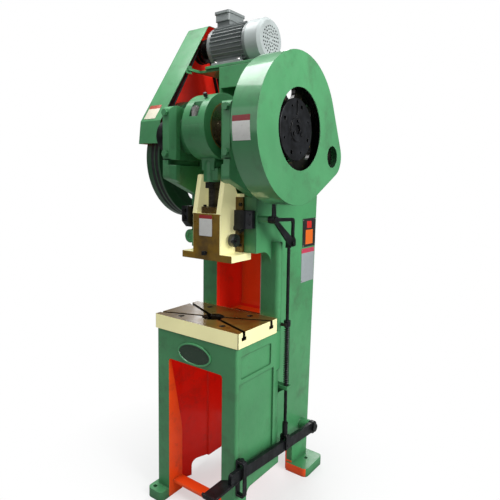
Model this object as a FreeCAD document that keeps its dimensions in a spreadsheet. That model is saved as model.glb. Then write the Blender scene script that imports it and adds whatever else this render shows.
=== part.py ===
import FreeCAD, Part

import math
import os

import Sketcher

# A fixed-table, gear-driven stamping press with a C-shaped cast frame.
# Millimetres. X runs to the right, Y to the back, Z up. The origin lies on the floor,
# midway between the four foot-bolt holes.

DRIVING = [
    # floor, feet and base
    ("foot_gap_x", 414, "foot-bolt spacing, left to right"),
    ("foot_gap_y", 602, "foot-bolt spacing, front to back"),
    ("foot_thick", 40, "thickness of each foot"),
    ("foot_hole", 9, "radius of a foot-bolt hole"),
    ("base_half", 217, "half the width of the base"),
    ("base_front", -276, "front face of the base"),
    ("base_top", 749, "seat of the bolster"),
    ("base_deck", 49, "thickness of the base under the bolster"),
    ("base_wall", 22, "side walls of the base"),
    ("front_wall", 16, "front wall of the base"),
    ("wall_bend", -150, "where the base's side walls begin to thicken toward the back"),
    ("leg_back", -194, "rear face of the front legs"),
    ("leg_bend", 290, "where the front legs begin to narrow upwards"),
    ("leg_top", 615, "where they meet the front wall"),
    ("arch_top_round", 30, "rounding of the arches' front corners"),
    ("opening_half", 146, "half the width of the front opening"),
    ("opening_top", 628, "top of the front opening"),
    ("arch_right", 150, "height of the arch under the right side"),
    ("arch_left", 75, "height of the arch under the left side"),
    ("arch_back", 221, "rear end of both arches"),
    ("arch_front_right", -203, "front end of the right arch"),
    ("arch_front_left", -98, "front end of the left arch"),
    ("sill_low", 56, "underside of the bar between the legs"),
    ("sill_tall", 12, "height of that bar"),
    ("foot_front", -326, "front edge of the front feet"),
    ("foot_out", 232, "outer edge of the front feet"),
    ("rear_foot_out", 260, "outer edge of the rear feet"),
    ("rear_foot_front", 211, "front edge of the rear feet"),
    ("rear_foot_back", 375, "rear edge of the rear feet"),
    # column and head
    ("cheek_out", 176, "outer face of each side plate"),
    ("cheek_thick", 36, "thickness of each side plate"),
    ("column_front", 11, "front face of the column"),
    ("column_back", 359, "rear face of the column at the floor"),
    ("column_lean", 48, "how far the rear face leans back by the head"),
    ("flange_in", 122, "inner edge of the column's front flange"),
    ("flange_thick", 23, "thickness of that flange"),
    ("web_front", 232, "front face of the column's web"),
    ("web_thick", 28, "thickness of the web"),
    ("throat_top", 1090, "underside of the head"),
    ("head_front", -279, "front face of the head"),
    ("head_top", 1684, "top of the head"),
    ("cap_bottom", 1466, "underside of the bearing caps"),
    ("nose_top", 1446, "top of the nose below the caps"),
    ("nose_bottom", 1392, "lower front corner of the nose"),
    ("way_front", -101, "front face of the slide-ways"),
    ("way_seat", -70, "face that the gibs are bolted to"),
    ("way_pad_in", 114, "inner face of the slide-ways"),
    ("way_tall", 228, "height of the slide-ways"),
    ("main_boss", 78, "radius of the main bearing bosses"),
    ("shaft_boss", 56, "radius of the back shaft's bosses"),
    ("rib_in", 118, "inner face of the cheeks' thick front edge"),
    ("rib_deep", 44, "depth of that edge"),
    ("ledge_in", 146, "inner end of the ledges under the caps"),
    # bolster
    ("bolster_wide", 450, "bolster, left to right"),
    ("bolster_deep", 272, "bolster, front to back"),
    ("bolster_tall", 61, "bolster thickness"),
    ("die_hole", 38, "radius of the hole under the die"),
    ("slot_neck", 16, "T-slot width at the table face"),
    ("slot_foot", 28, "T-slot width below"),
    ("slot_deep", 34, "T-slot depth"),
    # crank, connecting rod and ram
    ("crank_y", -158, "crankshaft axis, front to back"),
    ("crank_z", 1572, "crankshaft axis above the floor"),
    ("stroke", 55, "ram stroke"),
    ("journal", 40, "crankshaft journal radius"),
    ("crankpin", 88, "radius of the eccentric that is the crankpin"),
    ("rod_ring", 132, "outer radius of the connecting rod's big end"),
    ("rod_neck", 33, "half the width of the connecting rod's neck"),
    ("rod_half", 58, "half the thickness of the big end"),
    ("rod_stud_gap", 113, "connecting rod's studs from the crankpin's axis"),
    ("rod_boss", 44, "radius of the boss round the adjusting screw"),
    ("ball_z", 1212, "centre of the ball at the top of the stroke"),
    ("ball", 29, "ball radius"),
    ("screw", 23, "adjusting screw radius"),
    ("ram_front", -207, "front face of the ram"),
    ("ram_half", 75, "half the width of the ram"),
    ("ram_bottom", 1059, "ram face at the top of the stroke"),
    ("ram_top", 1250, "shoulder of the ram below its prongs"),
    ("shank_hole", 20, "radius of the tool-shank hole"),
    ("shank_deep", 60, "depth of the tool-shank hole"),
    ("cheek_in_ram", 52, "inner face of the ram's prongs"),
    ("prong_top", 159, "height of the ram's prongs"),
    ("toe_half", 133, "half the width of the ram's toe"),
    ("toe_tall", 28, "height of that toe"),
    ("brake", 68, "brake drum radius"),
    ("roller_z", 1142, "ram roller above the floor"),
    ("roller", 25, "ram roller radius"),
    ("bracket_low", 1193, "underside of the trip bracket"),
    ("bracket_top", 1266, "top of the trip bracket"),
    # gear train
    ("gear_module", 5, "tooth module"),
    ("gear_teeth", 90, "teeth on the main gear"),
    ("pinion_teeth", 18, "teeth on the pinion"),
    ("shaft_back", 255, "back shaft behind the crankshaft"),
    ("back_shaft", 25, "back shaft radius"),
    ("gear_left", 324, "left face of the main gear"),
    ("gear_wide", 50, "main gear face width"),
    ("clutch_disc", 112, "radius of the clutch cover disc"),
    ("guard_out", 404, "outer face of the gear guard"),
    ("guard_deep", 106, "depth of the gear guard"),
    ("guard_big", 274, "radius of the guard round the gear"),
    ("guard_small", 80, "radius of the guard round the pinion"),
    ("guard_window", 148, "radius of the window"),
    ("guard_eye", 43, "radius of the hole over the back shaft"),
    ("sheet", 3, "sheet thickness of the guards"),
    ("shelf_low", 1320, "underside of the bracket below the gear guard"),
    # flywheel, belts and motor
    ("flywheel", 279, "flywheel radius"),
    ("flywheel_left", -381, "outer face of the flywheel"),
    ("flywheel_wide", 83, "flywheel width"),
    ("belt_first", -342.5, "middle of the outer belt"),
    ("belt_gap", 25, "distance between the belts"),
    ("belt_top", 16, "belt width at its back"),
    ("belt_tall", 10, "belt height"),
    ("motor_pulley", 56, "motor pulley radius"),
    ("motor_y", 152, "motor axis, front to back"),
    ("motor_z", 2007, "motor axis above the floor"),
    ("motor_barrel", 86, "motor barrel radius"),
    ("motor_fins", 98, "radius over the cooling fins"),
    ("motor_left", -232, "drive-end face of the motor"),
    ("motor_right", 62, "fan-end face of the motor"),
    ("plate_top", 1907, "top of the motor plate"),
    ("belt_guard_left", -408, "outer face of the belt guard"),
    ("belt_guard_deep", 127, "depth of the belt guard"),
    # treadle and trip rod
    ("trip_x", 236, "pull rod, distance to the right"),
    ("trip_y", 54, "pull rod, front to back"),
    ("pedal_y", 302, "treadle pivot, front to back"),
    ("pedal_z", 208, "treadle pivot above the floor"),
    ("pedal_rise", 51, "how much higher the front end of the arm is"),
    ("pull_rod", 7, "pull rod radius"),
    ("spring_bottom", 500, "lower end of the return spring"),
    ("spring_top", 765, "upper end of the return spring"),
    ("spring_mean", 11, "mean coil radius"),
    ("spring_wire", 1.75, "wire radius"),
    ("spring_turns", 26, "number of coils"),
]

document = FreeCAD.newDocument("stamping_press")
sheet = document.addObject("Spreadsheet::Sheet", "Sizes")
vector = FreeCAD.Vector


class Size:
    """A length together with the sheet formula that gives it."""

    def __init__(self, number, formula):
        self.number = float(number)
        self.formula = formula

    def mixed(self, other, sign, number):
        return Size(number, f"({self.formula} {sign} {size_of(other).formula})")

    def __add__(self, other):
        return self.mixed(other, "+", self.number + size_of(other).number)

    def __sub__(self, other):
        return self.mixed(other, "-", self.number - size_of(other).number)

    def __mul__(self, other):
        return self.mixed(other, "*", self.number * size_of(other).number)

    def __truediv__(self, other):
        return self.mixed(other, "/", self.number / size_of(other).number)

    def __radd__(self, other):
        return size_of(other) + self

    def __rsub__(self, other):
        return size_of(other) - self

    def __rmul__(self, other):
        return size_of(other) * self

    def __neg__(self):
        return Size(-self.number, f"(-1 * {self.formula})")


def size_of(value):
    return value if isinstance(value, Size) else Size(value, f"({float(value):.6f})")


def root(value):
    return Size(math.sqrt(value.number), f"sqrt({value.formula})")


def enter_sizes():
    for row, (alias, number, meaning) in enumerate(DRIVING, start=1):
        sheet.set(f"A{row}", alias)
        sheet.set(f"B{row}", str(number))
        sheet.set(f"C{row}", meaning)
        sheet.setAlias(f"B{row}", alias)
    document.recompute()
    return {alias: Size(number, f"Sizes.{alias}") for alias, number, meaning in DRIVING}


S = enter_sizes()
nodes = {}

# ---------------------------------------------------------------- shared places

foot_x = S["foot_gap_x"] / 2
foot_y = S["foot_gap_y"] / 2
cheek_in = S["cheek_out"] - S["cheek_thick"]
throw = S["stroke"] / 2
crank_y = S["crank_y"]
crank_z = S["crank_z"]
pin_z = crank_z + throw
gear_radius = S["gear_module"] * S["gear_teeth"] / 2
pinion_radius = S["gear_module"] * S["pinion_teeth"] / 2
centre_gap = gear_radius + pinion_radius
shaft_y = crank_y + S["shaft_back"]
shaft_z = crank_z - root(centre_gap * centre_gap - S["shaft_back"] * S["shaft_back"])
deck_low = S["base_top"] - S["base_deck"]
bolster_top = S["base_top"] + S["bolster_tall"]
bolster_front = S["base_front"] - 3
flywheel_right = S["flywheel_left"] + S["flywheel_wide"]
guard_in = S["guard_out"] - S["guard_deep"]
gear_right = S["gear_left"] + S["gear_wide"]

# ---------------------------------------------------------------- ways to make a solid

TURN = {
    "X": FreeCAD.Rotation(vector(0, 1, 0), 90),
    "Y": FreeCAD.Rotation(vector(1, 0, 0), -90),
    "Z": FreeCAD.Rotation(),
}
PLANE = {"X": "YZ_Plane", "Y": "XZ_Plane", "Z": "XY_Plane"}


def bind(thing, path, value):
    thing.setExpression(path, size_of(value).formula)


def put(thing, x, y, z, rotation=None):
    """Place a thing by bound coordinates."""
    thing.Placement = FreeCAD.Placement(vector(0, 0, 0), rotation or FreeCAD.Rotation())
    for letter, value in zip("xyz", (x, y, z)):
        bind(thing, f"Placement.Base.{letter}", value)
    return thing


def place_on_axis(axis, along, centre):
    """Coordinates of a point that lies `along` an axis whose other two coordinates are `centre`."""
    first, second = centre
    return {"X": (along, first, second), "Y": (first, along, second), "Z": (first, second, along)}[axis]


def block(name, across, deep, tall):
    """A rectangular block between pairs of faces."""
    thing = document.addObject("Part::Box", name)
    for side, (low, high) in zip(("Length", "Width", "Height"), (across, deep, tall)):
        bind(thing, side, high - low)
    return put(thing, across[0], deep[0], tall[0])


def bar(name, axis, centre, span, radius):
    """A round bar along an axis."""
    thing = document.addObject("Part::Cylinder", name)
    bind(thing, "Radius", radius)
    bind(thing, "Height", size_of(span[1]) - span[0])
    return put(thing, *place_on_axis(axis, span[0], centre), TURN[axis])


def ball_shape(name, centre, radius):
    thing = document.addObject("Part::Sphere", name)
    bind(thing, "Radius", radius)
    return put(thing, *centre)


def hexagon(name, axis, centre, span, radius):
    thing = document.addObject("Part::Prism", name)
    thing.Polygon = 6
    bind(thing, "Circumradius", radius)
    bind(thing, "Height", size_of(span[1]) - span[0])
    return put(thing, *place_on_axis(axis, span[0], centre), TURN[axis])


def join(name, pieces):
    thing = document.addObject("Part::MultiFuse", name)
    thing.Shapes = pieces
    return thing


def remove(name, base, tools):
    thing = document.addObject("Part::Cut", name)
    thing.Base = base
    thing.Tool = tools[0] if len(tools) == 1 else join(name + "_tools", tools)
    return thing


def gather(name, pieces):
    """Separate like solids kept together as one group."""
    thing = document.addObject("Part::Compound", name)
    thing.Links = pieces
    return thing


def ring(name, axis, centre, span, outer, inner):
    body = bar(name + "_outer", axis, centre, span, outer)
    return remove(name, body, [bar(name + "_bore", axis, centre, span, inner)])


def new_body(name):
    return document.addObject("PartDesign::Body", name)


def new_sketch(body, name, axis, offset=0):
    sketch = body.newObject("Sketcher::SketchObject", name)
    plane = [f for f in body.Origin.OriginFeatures if f.Role == PLANE[axis]][0]
    sketch.AttachmentSupport = [(plane, "")]
    sketch.MapMode = "FlatFace"
    # the XZ plane faces the front, so its offset counts the other way
    bind(sketch, "AttachmentOffset.Base.z", -size_of(offset) if axis == "Y" else offset)
    return sketch


def draw(sketch, corners):
    """A closed outline whose every corner is bound to the sheet."""
    corners = [(size_of(u), size_of(v)) for u, v in corners]
    count = len(corners)
    first = sketch.GeometryCount
    for index, (u, v) in enumerate(corners):
        end_u, end_v = corners[(index + 1) % count]
        start = vector(u.number, v.number, 0)
        sketch.addGeometry(Part.LineSegment(start, vector(end_u.number, end_v.number, 0)), False)
    for index in range(count):
        following = first + (index + 1) % count
        sketch.addConstraint(Sketcher.Constraint("Coincident", first + index, 2, following, 1))
    for index, (u, v) in enumerate(corners):
        for kind, value in (("DistanceX", u), ("DistanceY", v)):
            rule = Sketcher.Constraint(kind, -1, 1, first + index, 1, value.number)
            bind(sketch, f"Constraints[{sketch.addConstraint(rule)}]", value)


def plate(name, axis, outline, span, rounds=()):
    """An outline padded along an axis; rounds lists (corner, radius) pairs to be filleted."""
    body = new_body(name)
    start = span[1] if axis == "Y" else span[0]
    sketch = new_sketch(body, name + "_outline", axis, start)
    draw(sketch, outline)
    pad = body.newObject("PartDesign::Pad", name + "_pad")
    pad.Profile = sketch
    bind(pad, "Length", size_of(span[1]) - span[0])
    body.Tip = pad
    for number, (corner, radius) in enumerate(rounds):
        round_corner(body, f"{name}_round{number}", axis, corner, radius)
    return body


def round_corner(body, name, axis, corner, radius):
    """Fillet the edge that runs along the axis through an outline's corner."""
    document.recompute()
    target = place_on_axis(axis, 0, tuple(size_of(c).number for c in corner))
    keep = [i for i in range(3) if i != "XYZ".index(axis)]
    base = body.Tip
    edges = []
    for index, edge in enumerate(base.Shape.Edges, start=1):
        ends = [edge.Vertexes[0].Point, edge.Vertexes[-1].Point]
        if all(abs(point[i] - target[i]) < 1e-3 for point in ends for i in keep):
            edges.append(f"Edge{index}")
    if not edges:
        raise RuntimeError(f"no edge at {corner} of {body.Label}")
    fillet = body.newObject("PartDesign::Fillet", name)
    fillet.Base = (base, edges)
    bind(fillet, "Radius", radius)
    body.Tip = fillet


def turned(name, axis, centre, outline):
    """A turned piece: outline corners are (distance along the axis, radius)."""
    body = new_body(name)
    flip = axis == "Z"
    sketch = new_sketch(body, name + "_outline", "Y" if flip else "Z")
    draw(sketch, [(r, a) if flip else (a, r) for a, r in outline])
    spun = body.newObject("PartDesign::Revolution", name + "_turning")
    spun.Profile = sketch
    spun.ReferenceAxis = (sketch, ["V_Axis" if flip else "H_Axis"])
    spun.Angle = 360
    body.Tip = spun
    first, second = centre
    return put(body, *((first, second, 0) if flip else (0, first, second)))


def teardrop(name, big, small, span):
    """Two circles and their outer tangents, padded along X: (y, z, radius) of each circle."""
    body = new_body(name)
    sketch = new_sketch(body, name + "_outline", "X", span[0])
    circles = [tuple(size_of(part) for part in circle) for circle in (big, small)]
    (y1, z1, r1), (y2, z2, r2) = [tuple(part.number for part in circle) for circle in circles]
    lean = math.atan2(z2 - z1, y2 - y1)
    spread = math.acos((r1 - r2) / math.hypot(y2 - y1, z2 - z1))

    def rim(y, z, r, angle):
        return vector(y + r * math.cos(angle), z + r * math.sin(angle), 0)

    upper, lower = lean + spread, lean - spread
    arcs = (
        Part.Arc(rim(y1, z1, r1, upper), rim(y1, z1, r1, lean + math.pi), rim(y1, z1, r1, lower)),
        Part.Arc(rim(y2, z2, r2, lower), rim(y2, z2, r2, lean), rim(y2, z2, r2, upper)),
    )
    for arc in arcs:
        sketch.addGeometry(arc, False)
    sketch.addGeometry(Part.LineSegment(rim(y1, z1, r1, lower), rim(y2, z2, r2, lower)), False)
    sketch.addGeometry(Part.LineSegment(rim(y2, z2, r2, upper), rim(y1, z1, r1, upper)), False)
    for arc, arc_end, line, line_end in ((0, 2, 2, 1), (1, 1, 2, 2), (1, 2, 3, 1), (0, 1, 3, 2)):
        sketch.addConstraint(Sketcher.Constraint("Tangent", arc, arc_end, line, line_end))
    for index, (y, z, r) in enumerate(circles):
        for rule, value in (
            (Sketcher.Constraint("DistanceX", -1, 1, index, 3, y.number), y),
            (Sketcher.Constraint("DistanceY", -1, 1, index, 3, z.number), z),
            (Sketcher.Constraint("Radius", index, r.number), r),
        ):
            bind(sketch, f"Constraints[{sketch.addConstraint(rule)}]", value)
    pad = body.newObject("PartDesign::Pad", name + "_pad")
    pad.Profile = sketch
    bind(pad, "Length", size_of(span[1]) - span[0])
    body.Tip = pad
    return body


def node(name, thing):
    """Name a finished sub-part."""
    thing.Label = name
    nodes[name] = thing
    return thing


# ---------------------------------------------------------------- frame casting

def side_plate(name, side, arch):
    """One side plate of the C: outline in Y and Z, with the throat cut into its front."""
    back = S["column_back"]
    lean = back + S["column_lean"]
    front = S["head_front"]
    way = S["way_front"]
    outline = [
        (way, S["throat_top"]), (way, S["nose_bottom"] - 74),
        (front, S["nose_bottom"]), (front, S["nose_top"]),
        (crank_y + 69, S["nose_top"]), (crank_y + 69, S["cap_bottom"]),
        (crank_y, S["cap_bottom"]), (crank_y, S["head_top"]),
        (lean, S["head_top"]), (lean, 1400), (back, 0),
        (S["arch_back"], 0), (S["arch_back"], arch), (-20, arch),
        (-20, deck_low), (S["column_front"], deck_low),
        (S["column_front"], S["throat_top"]),
    ]
    rounds = [((lean, S["head_top"]), 60), ((S["column_front"], S["throat_top"]), 62),
              ((front, S["nose_bottom"]), 16), ((back, 0), 6)]
    return plate(name, "X", outline, outward(side, cheek_in, S["cheek_out"]), rounds)


def flange(name, side):
    """The column's front flange, rounded on its outer corner."""
    inner, outer = side * S["flange_in"], side * S["base_half"]
    front = S["column_front"]
    back = front + S["flange_thick"]
    outline = [(inner, front), (outer, front), (outer, back), (inner, back)]
    span = (deck_low, S["throat_top"] + 40)
    return plate(name, "Z", outline, span, [((outer, front), 21)])


def foot(name, side, inner, outer, front, back, rounds):
    outline = [(side * inner, front), (side * outer, front), (side * outer, back), (side * inner, back)]
    corners = [((side * x, y), radius) for x, y, radius in rounds]
    return plate(name, "Z", outline, (0, S["foot_thick"]), corners)


# hollows in the outside of the base's walls: near, far, low, high, depth, rounding
WALL_HOLLOWS = ((-249, -39, 619, 710, 6, 10), (-259, -17, 218, 600, 8, 55), (3, 60, 208, 578, 9, 4))
HOLLOW_ROUND = 40
LEG_ROUND = 300
SILL_SPAN = (-250, -198)


def base_pieces():
    half, front, top = S["base_half"], S["base_front"], S["base_top"]
    back = S["column_front"] + S["flange_thick"]
    shell = plate("base_shell", "Z", [(-half, front), (half, front), (half, back), (-half, back)],
                  (0, top), [((-half, front), 10), ((half, front), 10)])
    inner = half - S["base_wall"]
    mouth = S["opening_half"]
    hollow = plate("base_hollow", "Z", [
        (-inner, front + S["front_wall"]), (inner, front + S["front_wall"]), (inner, S["wall_bend"]),
        (cheek_in, S["column_front"]),
        (cheek_in, back + 1), (-cheek_in, back + 1), (-cheek_in, S["column_front"]),
        (-inner, S["wall_bend"])],
        (-1, deck_low))
    opening = plate("base_opening", "Y",
                    [(-mouth, -1), (mouth, -1), (mouth, S["opening_top"]), (-mouth, S["opening_top"])],
                    (front - 1, front + S["front_wall"] + 1), [((mouth, S["opening_top"]), 12),
                                                               ((-mouth, S["opening_top"]), 12)])
    cuts = [hollow, opening]
    for side, word in ((1, "right"), (-1, "left")):
        face = side * half
        arch_front, arch = S[f"arch_front_{word}"], S[f"arch_{word}"]
        arch_rounds = [((arch_front, arch), S["arch_top_round"])]
        span = outward(side, cheek_in, half + 1)
        cuts.append(plate(f"arch_{word}", "X", [(arch_front, -1), (60, -1), (60, arch), (arch_front, arch)],
                          span, arch_rounds))
        for number, (near, far, low, high, deep, radius) in enumerate(WALL_HOLLOWS):
            edge = (face - deep, face + 1) if side > 0 else (face - 1, face + deep)
            cuts.append(plate(f"panel_{word}{number}", "X",
                              [(near, low), (far, low), (far, high), (near, high)],
                              edge, [((near, low), radius), ((far, low), min(radius, HOLLOW_ROUND))]))
    cuts.append(bar("blank_drop", "Z", (0, crank_y), (deck_low - 1, top + 1), S["die_hole"] + 24))
    body = remove("base", shell, cuts)
    pads = []
    seam = front + S["front_wall"] - 1
    leg_back, leg_bend = S["leg_back"], S["leg_bend"]
    for side, word in ((1, "right"), (-1, "left")):
        span = outward(side, mouth, inner + 1)
        outline = [(seam, 0), (leg_back, 0), (leg_back, leg_bend), (seam, S["leg_top"])]
        pads.append(plate(f"leg_pad_{word}", "X", outline, span, [((leg_back, leg_bend), LEG_ROUND)]))
    levels = (S["sill_low"], S["sill_low"] + S["sill_tall"])
    sill = block("sill", (-mouth - 1, mouth + 1), SILL_SPAN, levels)
    return [body, sill] + pads


RIB_LEVELS = (330, 800, 1250)
RIB_THICK = 20
RIB_BACK = 352
FLOOR_ROUND = 45
FLOOR_RISE = 60
ROOF_ROUND = 35
ROOF_DROP = 40
DECK_SPAN = (30, 340)
DECK_THICK = 34


def column_pieces():
    web = S["web_front"]
    back = web + S["web_thick"]
    throat = S["throat_top"]
    floor_front = S["column_front"] + 9
    inside = cheek_in + 1
    floor = plate("recess_floor", "X", [
        (floor_front, deck_low), (back - 1, deck_low), (back - 1, S["base_top"] + FLOOR_RISE),
        (web, S["base_top"] + FLOOR_RISE), (web, S["base_top"]), (floor_front, S["base_top"])],
        (-inside, inside), [((web, S["base_top"]), FLOOR_ROUND)])
    roof = plate("recess_roof", "X", [
        (S["way_seat"], throat), (S["way_seat"], throat + S["web_thick"]),
        (back - 1, throat + S["web_thick"]), (back - 1, throat - ROOF_DROP),
        (web, throat - ROOF_DROP), (web, throat)],
        (-inside, inside), [((web, throat), ROOF_ROUND)])
    wall = block("rear_web", (-inside, inside), (web, back), (S["arch_right"], S["head_top"]))
    deck = block("head_deck", (-inside, inside), DECK_SPAN, (S["head_top"] - DECK_THICK, S["head_top"]))
    ribs = [block(f"rear_rib{n}", (-inside, inside), (back - 1, RIB_BACK), (z, z + RIB_THICK))
            for n, z in enumerate(RIB_LEVELS)]
    return [floor, roof, wall, deck] + ribs


MAIN_BOSS = (100, 190)
SHAFT_BOSS = (118, 200)
NOSE_ROUND = 16
LEDGE_BACK = 66
LEDGE_LAP = 6
CHAMFER = 22


def outward(side, inner, outer):
    """The span between two distances from the middle plane, on one side of it."""
    return (inner, outer) if side > 0 else (-size_of(outer), -size_of(inner))


def head_pieces():
    bed = block("slide_bed", (-cheek_in - 1, cheek_in + 1), (S["way_seat"], S["way_seat"] + 35),
                (S["throat_top"], S["throat_top"] + S["way_tall"] + 12))
    pieces = [bed]
    for side, word in ((1, "right"), (-1, "left")):
        pieces.append(block(f"way_pad_{word}", outward(side, S["way_pad_in"], cheek_in + 1),
                            (S["way_front"], S["way_seat"] + 1),
                            (S["throat_top"], S["throat_top"] + S["way_tall"])))
        pieces.append(bar(f"main_boss_{word}", "X", (crank_y, crank_z), outward(side, *MAIN_BOSS),
                          S["main_boss"]))
        pieces.append(bar(f"shaft_boss_{word}", "X", (shaft_y, shaft_z), outward(side, *SHAFT_BOSS),
                          S["shaft_boss"]))
        front, low, top = S["head_front"], S["nose_bottom"], S["nose_top"]
        rear = front + S["rib_deep"]
        pieces.append(front_rib(f"nose_{word}", side,
                                [(front, low), (front, top), (rear, top), (rear, low - 18)],
                                [((front, low), NOSE_ROUND)]))
        pieces.append(block(f"cap_ledge_{word}", outward(side, S["ledge_in"], S["cheek_out"]),
                            (front, crank_y + LEDGE_BACK), (top - 1, S["cap_bottom"] + LEDGE_LAP)))
    return pieces


def front_rib(name, side, outline, rounds):
    """Thick front edge of a cheek on its inner side, chamfered toward the front."""
    front = S["head_front"]
    inner = S["rib_in"] - 1
    rib = plate(f"{name}_rib", "X", outline, outward(side, S["rib_in"], cheek_in + 1), rounds)
    corners = [(side * inner, front - 1), (side * (inner + CHAMFER + 1), front - 1),
               (side * inner, front + CHAMFER)]
    chamfer = plate(f"{name}_chamfer", "Z", corners, (S["throat_top"], S["head_top"] + 1))
    return remove(f"{name}_rib_cut", rib, [chamfer])


def side_lugs():
    """Bosses on the right side that carry the treadle, the pull rod and the trip lever."""
    out = S["cheek_out"]
    lug = block("rod_lug", (out - 6, S["trip_x"] + 16), (S["trip_y"] - 18, S["trip_y"] + 18),
                (S["spring_bottom"] - 14, S["spring_bottom"]))
    gusset = plate("rod_gusset", "Y", [(out - 6, S["spring_bottom"] - 13),
                                       (S["trip_x"] + 4, S["spring_bottom"] - 13),
                                       (out - 6, S["spring_bottom"] - 62)],
                   (S["trip_y"] - 5, S["trip_y"] + 5))
    pivot = bar("treadle_boss", "X", (S["pedal_y"], S["pedal_z"]), (out - 6, 224), 27)
    trip = bar("trip_boss", "X", TRIP_PIVOT, (out - 6, 226), 14)
    return [lug, gusset, pivot, trip]


TRIP_PIVOT = (S["way_front"] + 19, 1231)


def frame_casting():
    pieces = base_pieces() + column_pieces() + head_pieces() + side_lugs()
    pieces.append(side_plate("web_right", 1, S["arch_right"]))
    pieces.append(side_plate("web_left", -1, S["arch_left"]))
    far, rear = S["rear_foot_out"], S["rear_foot_back"]
    for side, word in ((1, "right"), (-1, "left")):
        pieces.append(flange(f"flange_{word}", side))
        pieces.append(foot(f"front_foot_{word}", side, S["opening_half"], S["foot_out"], S["foot_front"],
                           -240,
                           [(S["foot_out"], S["foot_front"], 22),
                            (S["opening_half"], S["foot_front"], 22)]))
        pieces.append(foot(f"rear_foot_{word}", side, cheek_in + 10, far, S["rear_foot_front"], rear,
                           [(far, S["rear_foot_front"], 24), (far, rear, 24)]))
    whole = join("casting", pieces)
    whole.Refine = False
    cuts = [block("cap_space", (-191, 191), (S["head_front"] - 9, crank_y),
                  (S["cap_bottom"], S["head_top"] + 9)),
            bar("main_bore", "X", (crank_y, crank_z), (-202, 202), S["journal"] + 10),
            bar("shaft_bore", "X", (shaft_y, shaft_z), (-202, 202), S["back_shaft"] + 8),
            bar("rod_guide_hole", "Z", (S["trip_x"], S["trip_y"]),
                (S["spring_bottom"] - 70, S["spring_bottom"] + 5), S["pull_rod"] + 1.5),
            bar("treadle_bore", "X", (S["pedal_y"], S["pedal_z"]), (190, 230), 12),
            bar("trip_bore", "X", TRIP_PIVOT, (190, 230), 9)]
    for x in (foot_x, -foot_x):
        for y in (foot_y, -foot_y):
            cuts.append(bar(f"foot_hole{len(cuts)}", "Z", (x, y), (-1, S["foot_thick"] + 1),
                            S["foot_hole"]))
    cuts += bolt_ways("bolster_tap", "Z", BOLSTER_BOLTS, (S["base_top"] - 30, S["base_top"] + 1), 8)
    cuts += bolt_ways("cap_tap", "Y", CAP_BOLTS, (crank_y - 1, crank_y + 45), 9)
    cuts += bolt_ways("stand_tap", "Z", STAND_BOLTS, (S["head_top"] - 28, S["head_top"] + 1), 7.4)
    casting = remove("frame_casting", whole, cuts)
    casting.Refine = False
    return casting


# ---------------------------------------------------------------- bolster

BOLSTER_BOLT_X = S["bolster_wide"] / 4
BOLSTER_BOLT_Y = (bolster_front + 43, bolster_front + S["bolster_deep"] - 43)
BOLSTER_BOLTS = [(x, y) for x in (BOLSTER_BOLT_X, -BOLSTER_BOLT_X) for y in BOLSTER_BOLT_Y]


def slot_cutter(name, low, width, tall, angle):
    """Half of a diagonal slot, from the middle of the table outwards."""
    thing = document.addObject("Part::Box", name)
    bind(thing, "Length", S["bolster_wide"])
    bind(thing, "Width", width)
    bind(thing, "Height", tall)
    turn = FreeCAD.Rotation(vector(0, 0, 1), angle)
    shift = turn.multVec(vector(0, -size_of(width).number / 2, 0))
    return put(thing, shift.x, crank_y + shift.y, low, turn)


def bolster():
    half = S["bolster_wide"] / 2
    back = bolster_front + S["bolster_deep"]
    outline = [(-half, bolster_front), (half, bolster_front), (half, back), (-half, back)]
    slab = plate("bolster_slab", "Z", outline, (S["base_top"], bolster_top),
                 [(corner, 5) for corner in outline])
    table = remove("bolster_bored", slab, [
        bar("die_bore", "Z", (0, crank_y), (S["base_top"] - 1, bolster_top + 1), S["die_hole"])])
    table = remove("bolster_recessed", table, [
        bar("die_recess", "Z", (0, crank_y), (bolster_top - 8, bolster_top + 1), S["die_hole"] + 9)])
    for number, angle in enumerate((-20.5, 25.2, 154.8, 200.5)):
        neck = slot_cutter(f"slot_neck{number}", bolster_top - S["slot_deep"] + 13, S["slot_neck"],
                           S["slot_deep"], angle)
        wide = slot_cutter(f"slot_foot{number}", bolster_top - S["slot_deep"], S["slot_foot"], 14, angle)
        table = remove(f"bolster_slotted{number}", table, [join(f"slot{number}", [neck, wide])])
    ways = bolt_ways("bolster_bolt_way", "Z", BOLSTER_BOLTS, (S["base_top"] - 1, bolster_top + 1), 8.5)
    seats = bolt_ways("bolster_bolt_seat", "Z", BOLSTER_BOLTS, (bolster_top - 17, bolster_top + 1), 14)
    return remove("bolster", table, ways + seats)


def socket_bolts(name, places, seat, head_radius, radius, length):
    """Cap screws with a hexagon socket, heads up."""
    bolts = []
    for number, (x, y) in enumerate(places):
        label = f"{name}{number}"
        head = bar(label + "_head", "Z", (x, y), (seat, seat + radius * 1.8), head_radius)
        stem = bar(label + "_stem", "Z", (x, y), (seat - length, seat + 1), radius - 0.2)
        socket = hexagon(label + "_socket", "Z", (x, y), (seat + radius * 0.8, seat + radius * 2),
                         radius * 0.9)
        bolts.append(remove(label, join(label + "_solid", [head, stem]), [socket]))
    return gather(name + "_group", bolts)


def hex_bolts(name, axis, places, seat, toward, across, radius, length):
    """Hexagon bolts: the head stands out from the seat, `toward` is +1 or -1 along the axis."""
    bolts = []
    for number, centre in enumerate(places):
        label = f"{name}{number}"
        head_end = size_of(seat) + toward * radius * 1.3
        stem_end = size_of(seat) - toward * length
        head = (seat, head_end) if toward > 0 else (head_end, seat)
        stem = (stem_end, size_of(seat) + 1) if toward > 0 else (size_of(seat) - 1, stem_end)
        bolts.append(join(label, [hexagon(label + "_head", axis, centre, head, across),
                                  bar(label + "_stem", axis, centre, stem, radius)]))
    return gather(name + "_group", bolts)


# ---------------------------------------------------------------- bearings

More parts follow.
